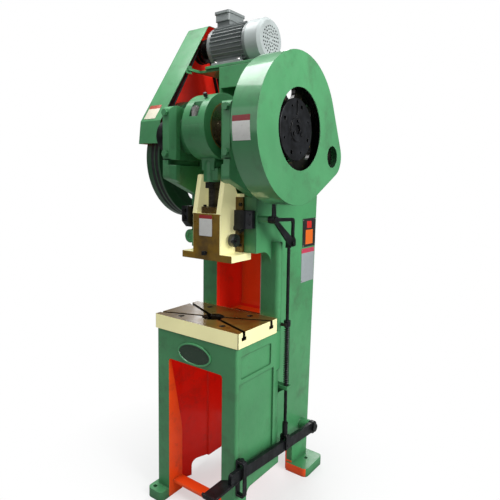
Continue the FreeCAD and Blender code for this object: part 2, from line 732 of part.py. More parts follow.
CAP_BOLTS = [(x, z) for x in ((cheek_in + S["cheek_out"]) / 2, (cheek_in + S["cheek_out"]) / -2)
             for z in (S["cap_bottom"] + 26, S["head_top"] - 26)]


def bolt_ways(name, axis, places, span, radius):
    """Cutters for a row of like bolt holes."""
    return [bar(f"{name}{number}", axis, place, span, radius) for number, place in enumerate(places)]


def bearing_cap(word, side):
    """A cap bolted on the head's front over one main bearing, with half of its boss."""
    front, split = S["head_front"], crank_y
    outline = [(front, S["cap_bottom"]), (split, S["cap_bottom"]), (split, S["head_top"]),
               (front, S["head_top"])]
    low, top, rear = S["cap_bottom"], S["head_top"], front + S["rib_deep"]
    rounds = [((front, top), 26), ((front, low), 14)]
    slab = plate(f"cap_slab_{word}", "X", outline, outward(side, cheek_in, S["cheek_out"]), rounds)
    boss = bar(f"cap_boss_{word}", "X", (crank_y, crank_z), outward(side, *MAIN_BOSS), S["main_boss"])
    rib = front_rib(f"cap_{word}", side, [(front, low), (rear, low), (rear, top), (front, top)], rounds)
    whole = join(f"cap_whole_{word}", [slab, boss, rib])
    cuts = [block(f"cap_rear_{word}", (-200, 200), (split, split + 90),
                  (S["cap_bottom"] - 9, S["head_top"] + 9)),
            bar(f"cap_bore_{word}", "X", (crank_y, crank_z), (-202, 202), S["journal"] + 10)]
    cuts += bolt_ways(f"cap_bolt_way_{word}", "Y", CAP_BOLTS, (S["head_front"] - 1, crank_y + 1), 9)
    return remove(f"bearing_cap_{word}", whole, cuts)


def cap_bolts():
    return hex_bolts("cap_bolt", "Y", CAP_BOLTS, S["head_front"], -1, 15, 9, crank_y - S["head_front"] + 40)


def main_bush(word, side):
    span = outward(side, MAIN_BOSS[0] - 1, MAIN_BOSS[1] + 2)
    return ring(f"main_bush_{word}", "X", (crank_y, crank_z), span, S["journal"] + 9.98,
                S["journal"] + 0.04)


def shaft_bush(word, side):
    span = outward(side, SHAFT_BOSS[0] - 1, SHAFT_BOSS[1] + 2)
    return ring(f"shaft_bush_{word}", "X", (shaft_y, shaft_z), span, S["back_shaft"] + 7.98,
                S["back_shaft"] + 0.04)


# ---------------------------------------------------------------- gibs

GIB_SCREWS = [(x, S["throat_top"] + up) for x in (102, -102) for up in (30, 86, 142, 198)]


def gib(side):
    """An angle that holds the ram's flange from the side and the front."""
    seat, edge, lip = S["way_seat"], 90.06, 76
    front = S["way_front"]
    outline = [(side * edge, seat), (side * 113.8, seat), (side * 113.8, front - 9),
               (side * lip, front - 9),
               (side * lip, front + 2.96), (side * edge, front + 2.96)]
    angle = plate(f"gib_side{side}", "Z", outline, (S["throat_top"], S["throat_top"] + 228))
    holes = [bar(f"gib_hole{side}_{n}", "Y", place, (front - 10, seat + 1), 4.7)
             for n, place in enumerate(GIB_SCREWS) if place[0] * side > 0]
    return remove(f"gib_drilled{side}", angle, holes)


def gib_screws():
    return hex_bolts("gib_screw", "Y", GIB_SCREWS, S["way_front"] - 9, -1, 8, 4.5, 39)


# ---------------------------------------------------------------- crankshaft and connecting rod

def crankshaft():
    journal = S["journal"]
    pieces = [bar("crank_left", "X", (crank_y, crank_z), (-274, -42), journal),
              bar("crank_right", "X", (crank_y, crank_z), (42, S["gear_left"] + 54), journal),
              bar("crank_pin", "X", (crank_y, pin_z), (-50, 50), S["crankpin"])]
    for side, word in ((1, "right"), (-1, "left")):
        pieces.append(bar(f"crank_collar_{word}", "X", (crank_y, crank_z), outward(side, 49, 98), 54))
    return join("crank_solid", pieces)


ROD_STUD_Y = (crank_y - S["rod_stud_gap"], crank_y + S["rod_stud_gap"])
ROD_STUDS = [(0, y) for y in ROD_STUD_Y]


def main_rod():
    """Lower half of the big end, shank and clamp boss of the connecting rod."""
    half = S["rod_half"]
    centre = (crank_y, pin_z)
    eye = bar("rod_eye", "X", centre, (-half, half), S["rod_ring"])
    neck, shoulder = S["rod_neck"], half - 3
    shank = plate("rod_shank", "Y", [
        (-shoulder, pin_z - 70), (-neck, pin_z - 140), (-neck, pin_z - 175), (neck, pin_z - 175),
        (neck, pin_z - 140), (shoulder, pin_z - 70)],
        (crank_y - 40, crank_y + 40), [((-neck, pin_z - 140), 70), ((neck, pin_z - 140), 70)])
    boss = bar("rod_boss", "Z", (0, crank_y), (pin_z - 221, pin_z - 152), S["rod_boss"])
    crown = ball_shape("rod_crown", (0, crank_y, pin_z - 152), S["rod_boss"])
    lug = block("rod_clamp_lug", (18, 50), (crank_y - 38, crank_y + 6), (pin_z - 214, pin_z - 166))
    whole = join("rod_whole", [eye, shank, boss, crown, lug])
    whole.Refine = False
    cuts = [block("rod_top_half", (-90, 90), (crank_y - 140, crank_y + 140), (pin_z, pin_z + 140)),
            bar("rod_bore", "X", centre, (-half - 9, half + 9), S["crankpin"] + 6),
            bar("rod_screw_bore", "Z", (0, crank_y), (pin_z - 230, pin_z - 135), S["screw"] + 0.3),
            block("rod_clamp_slit", (0, 60), (crank_y - 18, crank_y - 13), (pin_z - 230, pin_z - 160))]
    cuts += bolt_ways("rod_stud_way", "Z", ROD_STUDS, (pin_z - 45, pin_z + 1), 8)
    return remove("rod_body", whole, cuts)


def rod_cap():
    half = S["rod_half"]
    centre = (crank_y, pin_z)
    eye = bar("cap_eye", "X", centre, (-half, half), S["rod_ring"])
    cuts = [block("cap_low_half", (-90, 90), (crank_y - 140, crank_y + 140), (pin_z - 140, pin_z)),
            bar("cap_pin_bore", "X", centre, (-half - 9, half + 9), S["crankpin"] + 6)]
    for span in ((-150, -94), (94, 150)):
        cuts.append(block(f"cap_seat{len(cuts)}", (-22, 22), (crank_y + span[0], crank_y + span[1]),
                          (pin_z + 32, pin_z + 140)))
    cuts += bolt_ways("cap_stud_way", "Z", ROD_STUDS, (pin_z - 1, pin_z + 60), 8.3)
    return remove("rod_cap_solid", eye, cuts)


def rod_bolts():
    """Two studs with a nut and a lock nut each that hold the cap on the rod."""
    studs = []
    for number, place in enumerate(ROD_STUDS):
        label = f"rod_stud{number}"
        studs.append(join(label, [bar(label + "_stem", "Z", place, (pin_z - 44, pin_z + 74), 8),
                                  hexagon(label + "_nut", "Z", place, (pin_z + 32, pin_z + 52), 17),
                                  hexagon(label + "_lock", "Z", place, (pin_z + 53, pin_z + 68), 17)]))
    return gather("rod_stud_group", studs)


def pin_bush():
    return ring("pin_bush", "X", (crank_y, pin_z), (-S["rod_half"], S["rod_half"]),
                S["crankpin"] + 5.98, S["crankpin"] + 0.04)


def ball_screw():
    """Adjusting screw that ends in the ball of the ram's joint."""
    low = S["ball_z"]
    stem = bar("screw_stem", "Z", (0, crank_y), (low, pin_z - 137), S["screw"])
    knob = ball_shape("screw_ball", (0, crank_y, low), S["ball"])
    nut = hexagon("screw_lock_nut", "Z", (0, crank_y), (pin_z - 247, pin_z - 222), 38)
    return join("ball_screw_solid", [stem, knob, nut])


# ---------------------------------------------------------------- ram

BALL_PLAY = 6.5


def ram():
    half, front, low = S["ram_half"], S["ram_front"], S["ram_bottom"]
    rear = S["way_seat"] - 0.06
    lip = S["way_front"] + 3
    body = plate("ram_block", "Z", [(-half, front), (half, front), (half, lip + 3), (-half, lip + 3)],
                 (low, S["ram_top"]), [((-half, front), 6), ((half, front), 6)])
    slide = block("ram_slide", (-90, 90), (lip, rear), (low, S["ram_top"] + 80))
    toe = block("ram_toe", (-S["toe_half"], S["toe_half"]), (front, rear - 6), (low, low + S["toe_tall"]))
    shoulder, tip = S["ram_top"], S["ram_top"] + S["prong_top"]
    cheeks = []
    for side, word in ((1, "right"), (-1, "left")):
        cheeks.append(plate(f"ram_cheek_{word}", "X", [
            (front, shoulder - 5), (lip + 2, shoulder - 5), (lip + 2, shoulder + 78),
            (crank_y + 14, tip), (crank_y - 16, tip)],
            outward(side, S["cheek_in_ram"], half), [((crank_y - 16, tip), 9), ((crank_y + 14, tip), 9)]))
    whole = join("ram_whole", [body, slide, toe] + cheeks)
    reach = S["ball"] + 0.6
    pocket = block("ball_pocket", (-reach, reach), (crank_y - reach, crank_y + throw + reach),
                   (S["ball_z"] - S["ball"] - BALL_PLAY, S["ram_top"] + 1))
    shank = bar("shank_bore", "Z", (0, crank_y), (low - 1, low + S["shank_deep"]), S["shank_hole"])
    clamp = bar("shank_screw_way", "Y", (0, low + 30), (front - 1, crank_y - 10), 6.2)
    return remove("ram_solid", whole, [pocket, shank, clamp])


def ball_cap():
    """Plate that closes the ball pocket; its slot lets the rod swing to the back."""
    front, back = crank_y - 46, S["way_front"] + 2
    top = S["ram_top"]
    outline = [(-48, front), (48, front), (48, back), (-48, back)]
    slab = plate("ball_cap_slab", "Z", outline, (top, top + 26), [((-48, front), 34), ((48, front), 34)])
    reach = S["screw"] + 1.2
    slot = block("ball_cap_slot", (-reach, reach), (crank_y - reach, crank_y + throw + reach),
                 (top - 1, top + 27))
    holes = [bar(f"ball_cap_hole{n}", "Z", (x, y), (top - 1, top + 27), 4.2) for n, (x, y) in
             enumerate(BALL_CAP_BOLTS)]
    return remove("ball_cap_solid", slab, [slot] + holes)


BALL_CAP_BOLTS = [(x, y) for x in (-37, 37) for y in (crank_y - 14, crank_y + 36)]


def shank_screw():
    front, low = S["ram_front"], S["ram_bottom"] + 30
    stem = bar("shank_screw_stem", "Y", (0, low), (front - 8, crank_y - S["shank_hole"] - 1), 6)
    head = document.addObject("Part::Box", "shank_screw_head")
    for side, value in (("Length", 16), ("Width", 13), ("Height", 16)):
        bind(head, side, value)
    put(head, -8, front - 20, low - 8)
    return join("shank_screw_solid", [stem, head])


def trip_bracket():
    """Black bracket on the front of the right slide-way, in front of the gib."""
    front = S["way_front"]
    face = front - 45
    body = plate("bracket_body", "Z", [
        (116, front), (168, front), (168, front - 20), (150, face), (92, face), (92, front - 21),
        (116, front - 21)], (S["bracket_low"], S["bracket_top"]), [((92, face), 8), ((150, face), 8)])
    nose = bar("bracket_nose", "X", (front - 33, S["bracket_low"]), (92, 132), 12)
    studs = [bar(f"bracket_stud{n}", "Y", (159, z), (front - 30, front), 6)
             for n, z in enumerate((S["bracket_low"] + 17, S["bracket_top"] - 16))]
    return join("bracket_solid", [body, nose] + studs)


def trip_roller():
    """Roller on a pin in the ram's right side, below the bracket."""
    centre = (crank_y + 13, S["roller_z"])
    half = S["ram_half"]
    wheel = bar("roller_wheel", "X", centre, (half + 9, half + 35), S["roller"])
    rim = bar("roller_rim", "X", centre, (half + 14, half + 30), S["roller"] + 2)
    pin = bar("roller_pin", "X", centre, (half, half + 42), 9)
    return join("roller_solid", [wheel, rim, pin])


# ---------------------------------------------------------------- gears

PRESSURE = math.radians(20)


def gear_wire(teeth, module, backlash, centre, steps):
    """Closed outline of an involute gear in the YZ plane, with straight runs between its points."""
    pitch = module * teeth / 2
    base = pitch * math.cos(PRESSURE)
    tip, foot_radius = pitch + module, pitch - 1.25 * module

    def half_angle(radius):
        slope = math.acos(min(1, base / max(radius, base)))
        at_pitch = math.pi / (2 * teeth) - backlash / (2 * pitch)
        return at_pitch + (math.tan(PRESSURE) - PRESSURE) - (math.tan(slope) - slope)

    start = max(base, foot_radius + 0.2)
    radii = [foot_radius] + [start + (tip - start) * k / steps for k in range(steps + 1)]
    flank = [(radius, half_angle(radius)) for radius in radii]
    points = []
    for tooth in range(teeth):
        middle = 2 * math.pi * tooth / teeth + math.pi / teeth * (teeth % 4 == 2)
        for radius, half in [(r, -h) for r, h in flank] + [(r, h) for r, h in reversed(flank)]:
            angle = middle + half
            points.append(vector(0, centre[0] + radius * math.cos(angle),
                                 centre[1] + radius * math.sin(angle)))
    return Part.makePolygon(points + [points[0]])


def toothed(name, teeth, centre, span, turn, steps):
    """Extrude a gear outline along X."""
    first, last = size_of(span[0]), size_of(span[1])
    outline = document.addObject("Part::Feature", name + "_outline")
    wire = gear_wire(teeth, S["gear_module"].number, 0.9, (0, 0), steps)
    wire.rotate(vector(0, 0, 0), vector(1, 0, 0), math.degrees(turn))
    outline.Shape = Part.Face(wire)
    solid = document.addObject("Part::Extrusion", name + "_teeth")
    solid.Base = outline
    solid.DirMode = "Custom"
    solid.Dir = vector(1, 0, 0)
    bind(solid, "LengthFwd", last - first)
    solid.Solid = True
    return put(solid, first, centre[0], centre[1])


def mesh_angles():
    """Turn the pinion so that its tooth meets a gap of the gear on the line of centres."""
    line = math.atan2(shaft_z.number - crank_z.number, shaft_y.number - crank_y.number)
    big, small = int(S["gear_teeth"].number), int(S["pinion_teeth"].number)
    gear_turn = line
    pinion_turn = line + math.pi + math.pi / small
    for teeth in (big, small):
        if teeth % 4 == 2:
            shift = math.pi / teeth
            gear_turn -= shift if teeth == big else 0
            pinion_turn -= shift if teeth == small else 0
    return gear_turn, pinion_turn


GEAR_TURN, PINION_TURN = mesh_angles()


def main_gear():
    left, right = S["gear_left"], gear_right
    centre = (crank_y, crank_z)
    teeth = toothed("gear", int(S["gear_teeth"].number), centre, (left, right), GEAR_TURN, 1)
    hub = bar("gear_hub", "X", centre, (left - 8, right + 3), 84)
    whole = join("gear_whole", [teeth, hub])
    rim = gear_radius - 26
    cuts = [bar("gear_bore", "X", centre, (left - 20, right + 20), S["journal"] + 0.05),
            ring("gear_dish_right", "X", centre, (right - 17, right + 1), rim, 84),
            ring("gear_dish_left", "X", centre, (left - 1, left + 17), rim, 84)]
    for number in range(6):
        angle = math.radians(60 * number + 30)
        y, z = crank_y + 141 * math.cos(angle), crank_z + 141 * math.sin(angle)
        cuts.append(bar(f"gear_hole{number}", "X", (y, z), (left, right), 33))
    return remove("gear_solid", whole, cuts)


def pinion():
    centre = (shaft_y, shaft_z)
    span = (S["gear_left"] - 3, gear_right + 3)
    teeth = toothed("pinion", int(S["pinion_teeth"].number), centre, span, PINION_TURN, 2)
    return remove("pinion_solid", teeth, [bar("pinion_bore", "X", centre, (span[0] - 5, span[1] + 5),
                                              S["back_shaft"])])


def clutch_disc():
    """Cover disc of the key clutch on the crankshaft's right end."""
    centre = (crank_y, crank_z)
    left = S["gear_left"] + 54
    disc = turned("clutch_turning", "X", centre, [
        (left, 0), (left, S["clutch_disc"]), (left + 7, S["clutch_disc"]), (left + 9, S["clutch_disc"] - 2),
        (left + 9, 46), (left + 14, 44), (left + 14, 0)])
    cuts = [bar("clutch_centre", "X", centre, (left + 6, left + 15), 17)]
    for number in range(8):
        angle = math.radians(45 * number + 22.5)
        y, z = crank_y + 88 * math.cos(angle), crank_z + 88 * math.sin(angle)
        cuts.append(bar(f"clutch_hole{number}", "X", (y, z), (left - 1, left + 10), 8 if number % 2 else 5))
    slot = block("clutch_slot", (left + 3, left + 15), (crank_y - 4, crank_y + 4),
                 (crank_z + 52, crank_z + 104))
    return remove("clutch_solid", disc, cuts + [slot])


def clutch_bolts():
    bolts = []
    for number in range(3):
        angle = math.radians(120 * number + 90)
        centre = (crank_y + 31 * math.cos(angle), crank_z + 31 * math.sin(angle))
        bolts.append(hexagon(f"clutch_bolt{number}", "X", centre,
                             (S["gear_left"] + 68, S["gear_left"] + 73), 8))
    return gather("clutch_bolt_group", bolts)


# ---------------------------------------------------------------- flywheel, belts and motor

GROOVE_SLOPE = math.tan(math.radians(19))
BELT_INSET = 1.0
BELT_PLAY = 0.25
groove_top = S["belt_top"] + 2 * (BELT_PLAY + BELT_INSET * GROOVE_SLOPE)
groove_deep = S["belt_tall"] + 3.0
belt_places = (S["belt_first"], S["belt_first"] + S["belt_gap"])


def groove_points(middle, rim):
    """Corners of one V-groove, from left to right."""
    half, narrow = groove_top / 2, groove_top / 2 - groove_deep * GROOVE_SLOPE
    return [(middle - half, rim), (middle - narrow, rim - groove_deep),
            (middle + narrow, rim - groove_deep), (middle + half, rim)]


def flywheel():
    left, right, rim = S["flywheel_left"], flywheel_right, S["flywheel"]
    inner = rim - 44
    hub = 62
    grooves = [point for middle in belt_places for point in groove_points(middle, rim)]
    outline = [(left, inner), (left, rim)] + grooves + [
        (right, rim), (right, inner), (left + 54, inner - 6), (left + 54, hub + 8), (right + 8, hub),
        (right + 8, S["back_shaft"]), (left - 8, S["back_shaft"]), (left - 8, hub), (left + 30, hub + 8),
        (left + 30, inner - 6)]
    disc = turned("flywheel_turning", "X", (shaft_y, shaft_z), outline)
    cuts = []
    for number in range(5):
        angle = math.radians(72 * number + 47)
        y, z = shaft_y + 150 * math.cos(angle), shaft_z + 150 * math.sin(angle)
        cuts.append(bar(f"flywheel_hole{number}", "X", (y, z), (left, right), 46))
    return remove("flywheel_solid", disc, cuts)


def motor_pulley():
    rim = S["motor_pulley"]
    left, right = S["belt_first"] - 13.5, S["belt_first"] + S["belt_gap"] + 13.5
    grooves = [point for middle in belt_places for point in groove_points(middle, rim)]
    outline = [(left, 14), (left, rim)] + grooves + [(right, rim), (right, 34), (right + 14, 34),
                                                     (right + 14, 14)]
    return turned("pulley_turning", "X", (S["motor_y"], S["motor_z"]), outline)


def v_belt(number, middle):
    """A closed trapezoid belt: two straight runs and a turn round each pulley."""
    y1, z1, y2, z2 = shaft_y.number, shaft_z.number, S["motor_y"].number, S["motor_z"].number
    r1, r2 = S["flywheel"].number - BELT_INSET, S["motor_pulley"].number - BELT_INSET
    thick, half = S["belt_tall"].number, S["belt_top"].number / 2
    narrow = half - thick * GROOVE_SLOPE
    x = size_of(middle).number
    line = math.atan2(z2 - z1, y2 - y1)
    spread = math.acos((r1 - r2) / math.hypot(y2 - y1, z2 - z1))

    def rim(y, z, r, angle):
        return vector(x, y + r * math.cos(angle), z + r * math.sin(angle))

    up, low = line + spread, line - spread
    path = Part.Wire([
        Part.LineSegment(rim(y2, z2, r2, up), rim(y1, z1, r1, up)).toShape(),
        Part.Arc(rim(y1, z1, r1, up), rim(y1, z1, r1, line + math.pi), rim(y1, z1, r1, low)).toShape(),
        Part.LineSegment(rim(y1, z1, r1, low), rim(y2, z2, r2, low)).toShape(),
        Part.Arc(rim(y2, z2, r2, low), rim(y2, z2, r2, line), rim(y2, z2, r2, up)).toShape()])
    start = rim(y2, z2, r2, up)
    inward = vector(0, -math.cos(up), -math.sin(up)) * thick
    across = vector(1, 0, 0)
    section = Part.makePolygon([start - across * half, start + across * half,
                                start + across * narrow + inward, start - across * narrow + inward,
                                start - across * half])
    thing = document.addObject("Part::Feature", f"belt{number}")
    thing.Shape = path.makePipeShell([section], True, False)
    return thing


def motor_housing():
    """Finned barrel with end shields, feet and the neck of its terminal box."""
    centre = (S["motor_y"], S["motor_z"])
    left, right = S["motor_left"], -24
    barrel = bar("motor_barrel_turning", "X", centre, (left, right), S["motor_barrel"])
    shield = turned("motor_shield", "X", centre, [
        (left - 18, 22), (left - 18, 46), (left - 12, 60), (left - 4, 92), (left + 14, 92),
        (left + 14, 22)])
    rear = ring("motor_rear_shield", "X", centre, (right - 10, right + 8), 92, 20)
    pieces = [barrel, shield, rear]
    for number in range(26):
        degrees = -52 + 284 * number / 25
        if abs(degrees - 90) < 22:
            continue
        fin = document.addObject("Part::Box", f"fin{number}")
        bind(fin, "Length", size_of(right - 12) - (left + 16))
        bind(fin, "Width", S["motor_fins"] - S["motor_barrel"] + 4)
        bind(fin, "Height", 3)
        turn = FreeCAD.Rotation(vector(1, 0, 0), degrees)
        start = turn.multVec(vector(0, S["motor_barrel"].number - 4, -1.5))
        put(fin, left + 16, S["motor_y"] + start.y, S["motor_z"] + start.z, turn)
        pieces.append(fin)
    for y_side in (-1, 1):
        pieces.append(block(f"motor_foot{y_side}", (left + 22, right - 18),
                            (S["motor_y"] + (-88 if y_side < 0 else 42),
                             S["motor_y"] + (-42 if y_side < 0 else 88)),
                            (S["plate_top"], S["plate_top"] + 14)))
        pieces.append(block(f"motor_foot_web{y_side}", (left + 34, right - 30),
                            (S["motor_y"] + (-66 if y_side < 0 else 50),
                             S["motor_y"] + (-50 if y_side < 0 else 66)),
                            (S["plate_top"] + 10, S["motor_z"] - 48)))
    pieces.append(block("terminal_neck", (-207, -135), (S["motor_y"] - 48, S["motor_y"] + 48),
                        (S["motor_z"] + 70, S["motor_z"] + 106)))
    whole = join("motor_whole", pieces)
    cuts = [bar("motor_shaft_way", "X", centre, (left - 30, right + 20), 20.5)]
    cuts += bolt_ways("motor_bolt_way", "Z", MOTOR_BOLTS, (S["plate_top"] - 1, S["plate_top"] + 30), 5.5)
    return remove("motor_solid", whole, cuts)


MOTOR_BOLTS = [(x, S["motor_y"] + y) for x in (S["motor_left"] + 40, -60) for y in (-78, 78)]


def fan_cover():
    centre = (S["motor_y"], S["motor_z"])
    start, end, out = -16, S["motor_right"], 96
    cup = turned("fan_cover_turning", "X", centre, [
        (start, out - 2), (start, out), (end - 14, out), (end, out - 13), (end, 0), (end - 2, 0),
        (end - 2, out - 14), (end - 15, out - 2)])
    cuts = []
    for ring_radius, count in ((16, 6), (30, 12), (44, 16), (58, 22)):
        for number in range(count):
            angle = 2 * math.pi * number / count
            y, z = centre[0] + ring_radius * math.cos(angle), centre[1] + ring_radius * math.sin(angle)
            cuts.append(bar(f"grille{len(cuts)}", "X", (y, z), (end - 4, end + 1), 4.2))
    return remove("fan_cover_solid", cup, cuts)


def motor_shaft():
    return turned("rotor_turning", "X", (S["motor_y"], S["motor_z"]), [
        (S["belt_first"] - 15, 0), (S["belt_first"] - 15, 14), (S["motor_left"] - 18, 14),
        (S["motor_left"] - 18, 20),
        (4, 20), (4, 12), (S["motor_right"] - 12, 12), (S["motor_right"] - 12, 0)])


def motor_fan():
    centre = (S["motor_y"], S["motor_z"])
    hub = ring("fan_hub", "X", centre, (12, 44), 26, 12)
    pieces = [hub, ring("fan_disc", "X", centre, (12, 16), 60, 12)]
    for number in range(7):
        turn = FreeCAD.Rotation(vector(1, 0, 0), 360 / 7 * number)
        blade = document.addObject("Part::Box", f"blade{number}")
        for side, value in (("Length", 28), ("Width", 62), ("Height", 3)):
            bind(blade, side, value)
        start = turn.multVec(vector(0, 20, -1.5))
        pieces.append(put(blade, 14, centre[0] + start.y, centre[1] + start.z, turn))
    return join("fan_solid", pieces)


def terminal_box():
    y, z = S["motor_y"], S["motor_z"] + 106
    outline = [(-211, y - 60), (-131, y - 60), (-131, y + 60), (-211, y + 60)]
    return plate("terminal_tray", "Z", outline, (z, z + 32), [(corner, 10) for corner in outline])


def terminal_lid():
    y, z = S["motor_y"], S["motor_z"] + 138
    outline = [(-215, y - 65), (-127, y - 65), (-127, y + 65), (-215, y + 65)]
    return plate("terminal_cover", "Z", outline, (z, z + 12), [(corner, 12) for corner in outline])


def motor_plate():
    outline = [(-236, 47), (70, 47), (70, 257), (-236, 257)]
    top = S["plate_top"]
    slab = plate("motor_slab", "Z", outline, (top - 12, top), [(corner, 8) for corner in outline])
    holes = bolt_ways("motor_plate_hole", "Z", MOTOR_BOLTS, (top - 13, top + 1), 5.5)
    return remove("motor_plate_solid", slab, holes)


STAND_BOLTS = [(x, y) for x in (-116, 30) for y in (92, 222)]


def motor_bracket():
    """Welded stand on the head that carries the motor plate."""
    top = S["plate_top"] - 12
    foot_low = S["head_top"]
    left, right, wall = -147, 60, 12
    pieces = [block("stand_flange", (-270, 66), (60, 257), (top - wall, top)),
              block("stand_front", (left, right), (47, 47 + wall), (top - 95, top - 1)),
              block("stand_rear", (left, right), (245, 257), (top - 95, top - 1))]
    for number, low in enumerate((left, right - wall)):
        pieces.append(plate(f"stand_leg{number}", "X",
                            [(62, foot_low), (250, foot_low), (257, top - 6), (47, top - 6),
                                                      (47, top - 95)], (low, low + wall)))
    pieces.append(block("stand_foot_left", (left, left + 62), (62, 250), (foot_low, foot_low + wall)))
    pieces.append(block("stand_foot_right", (right - 60, right), (62, 250), (foot_low, foot_low + wall)))
    return remove("stand_solid", join("stand_whole", pieces),
                  bolt_ways("stand_hole", "Z", STAND_BOLTS, (foot_low - 1, foot_low + wall + 1), 7.5)
                  + bolt_ways("flange_hole", "Z", MOTOR_BOLTS, (top - wall - 1, top + 1), 5.5))


# ---------------------------------------------------------------- guards

GUARD_TABS = ((70, 1650), (-88, 1346), (40, 1400))


def gear_guard():
    """Sheet pan over the gears: open toward the frame, with a window and a shaft hole."""
    back, face = guard_in, S["guard_out"]
    thick = S["sheet"]
    big, small = S["guard_big"], S["guard_small"]
    outer = teardrop("guard_outer", (crank_y, crank_z, big), (shaft_y, shaft_z, small), (back, face))
    inner = teardrop("guard_inner", (crank_y, crank_z, big - thick), (shaft_y, shaft_z, small - thick),
                     (back - 1, face - thick))
    pan = remove("guard_pan", outer, [inner])
    tabs = [bar(f"guard_tab{n}", "X", place, (back, back + thick), 24) for n,
            place in enumerate(GUARD_TABS)]
    shape = teardrop("guard_tab_limit", (crank_y, crank_z, big - 1), (shaft_y, shaft_z, small - 1),
                     (back, back + thick))
    common = document.addObject("Part::Common", "guard_tabs")
    common.Base = shape
    common.Tool = join("guard_tab_discs", tabs + tab_arms(back, thick))
    cuts = [bar("guard_window_cut", "X", (crank_y, crank_z), (face - 5, face + 1), S["guard_window"]),
            bar("guard_eye_cut", "X", (shaft_y, shaft_z), (face - 5, face + 1), S["guard_eye"])]
    cuts += [bar(f"guard_tab_hole{n}", "X", place, (back - 1, back + 5), 6.5) for n,
             place in enumerate(GUARD_TABS)]
    return remove("gear_guard_solid", join("guard_whole", [pan, common]), cuts)


def tab_arms(back, thick):
    """Strips that join each tab to the rim, pointing away from the gear's centre."""
    arms = []
    for number, (y, z) in enumerate(GUARD_TABS):
        angle = math.degrees(math.atan2(z - crank_z.number, y - crank_y.number))
        turn = FreeCAD.Rotation(vector(1, 0, 0), angle)
        arm = document.addObject("Part::Box", f"guard_arm{number}")
        for side, value in (("Length", thick), ("Width", 80), ("Height", 48)):
            bind(arm, side, value)
        start = turn.multVec(vector(0, 0, -24))
        arms.append(put(arm, back, y + start.y, z + start.z, turn))
    return arms


def guard_posts():
    """Spacers with through bolts between the head and the gear guard."""
    posts = []
    for number, centre in enumerate(GUARD_TABS):
        label = f"guard_post{number}"
        posts.append(join(label, [bar(label + "_spacer", "X", centre, (S["cheek_out"], guard_in), 13),
                                  bar(label + "_stud", "X", centre, (guard_in - 5, guard_in + 14), 6.3),
                                  hexagon(label + "_nut", "X", centre,
                                          (guard_in + S["sheet"], guard_in + 12), 11)]))
    return gather("guard_post_group", posts)


def guard_shelf():
    """Angle bracket below the gear guard."""
    low = S["shelf_low"]
    shelf = block("shelf_plate", (S["cheek_out"], guard_in), (-128, -62), (low, low + 13))
    leg = block("shelf_leg", (S["cheek_out"], S["cheek_out"] + 12), (-128, -104), (low, low + 50))
    return join("shelf_solid", [shelf, leg])


BELT_GUARD_OUTLINE = [(-203, 1543), (-192, 1643), (126, 2120), (265, 2120), (398, 1643), (398, 1543)]


def inset_outline(points, gap):
    """The same outline moved inwards by a gap, its open bottom side left where it is."""
    moved = []
    count = len(points)
    for index, (y, z) in enumerate(points):
        before, after = points[index - 1], points[(index + 1) % count]
        edges = []
        for (y1, z1), (y2, z2) in (((before), (y, z)), ((y, z), (after))):
            length = math.hypot(y2 - y1, z2 - z1)
            away = -1 if abs(z1 - z2) < 1e-6 and z1 < 1600 else gap
            normal = ((z2 - z1) / length, -(y2 - y1) / length)
            edges.append((normal, normal[0] * y1 + normal[1] * z1 + away))
        ((a, b), e), ((c, d), f) = edges
        scale = a * d - b * c
        moved.append(((e * d - b * f) / scale, (a * f - e * c) / scale))
    return moved


def belt_guard():
    """Sheet pan over the belts: open toward the frame and at the bottom."""
    left = S["belt_guard_left"]
    right = left + S["belt_guard_deep"]
    thick = S["sheet"]
    rounds = [((126, 2120), 26), ((265, 2120), 26)]
    outer = plate("belt_pan", "X", BELT_GUARD_OUTLINE, (left, right), rounds)
    hollow = inset_outline(BELT_GUARD_OUTLINE, thick.number)
    inner = plate("belt_pan_hollow", "X", hollow, (left + thick, right + 1),
                  [(hollow[2], 23), (hollow[3], 23)])
    tabs = [block("belt_tab_front", (right - thick, right), (-27, 10), (1872, 1908)),
            block("belt_tab_rear", (right - thick, right), (290, 330), (1872, 1908)),
            block("belt_tab_low", (right - thick, right), (350, 397), (1582, 1622))]
    limit = plate("belt_tab_limit", "X", inset_outline(BELT_GUARD_OUTLINE, 1), (right - thick, right))
    common = document.addObject("Part::Common", "belt_tabs")
    common.Base = limit
    common.Tool = join("belt_tab_blocks", tabs)
    return join("belt_guard_solid", [remove("belt_pan_open", outer, [inner]), common])


def belt_guard_arms():
    """Flat bar from the motor stand and a lower post that hold the belt guard."""
    right = S["belt_guard_left"] + S["belt_guard_deep"]
    bar_piece = block("belt_arm_bar", (right, right + 11), (-20, 322), (1883, 1895))
    post = bar("belt_arm_post", "X", (372, 1602), (right, -S["cheek_out"]), 12)
    return gather("belt_arm_group", [bar_piece, post])


# ---------------------------------------------------------------- brake

def brake_drum():
    rim = S["brake"]
    return turned("brake_drum_turning", "X", (crank_y, crank_z), [
        (-272, S["journal"]), (-272, 50), (-256, 50), (-256, rim - 10), (-270, rim - 10), (-270, rim),
        (-226, rim),
        (-226, rim - 10), (-240, rim - 10), (-240, 50), (-222, 50), (-222, S["journal"])])


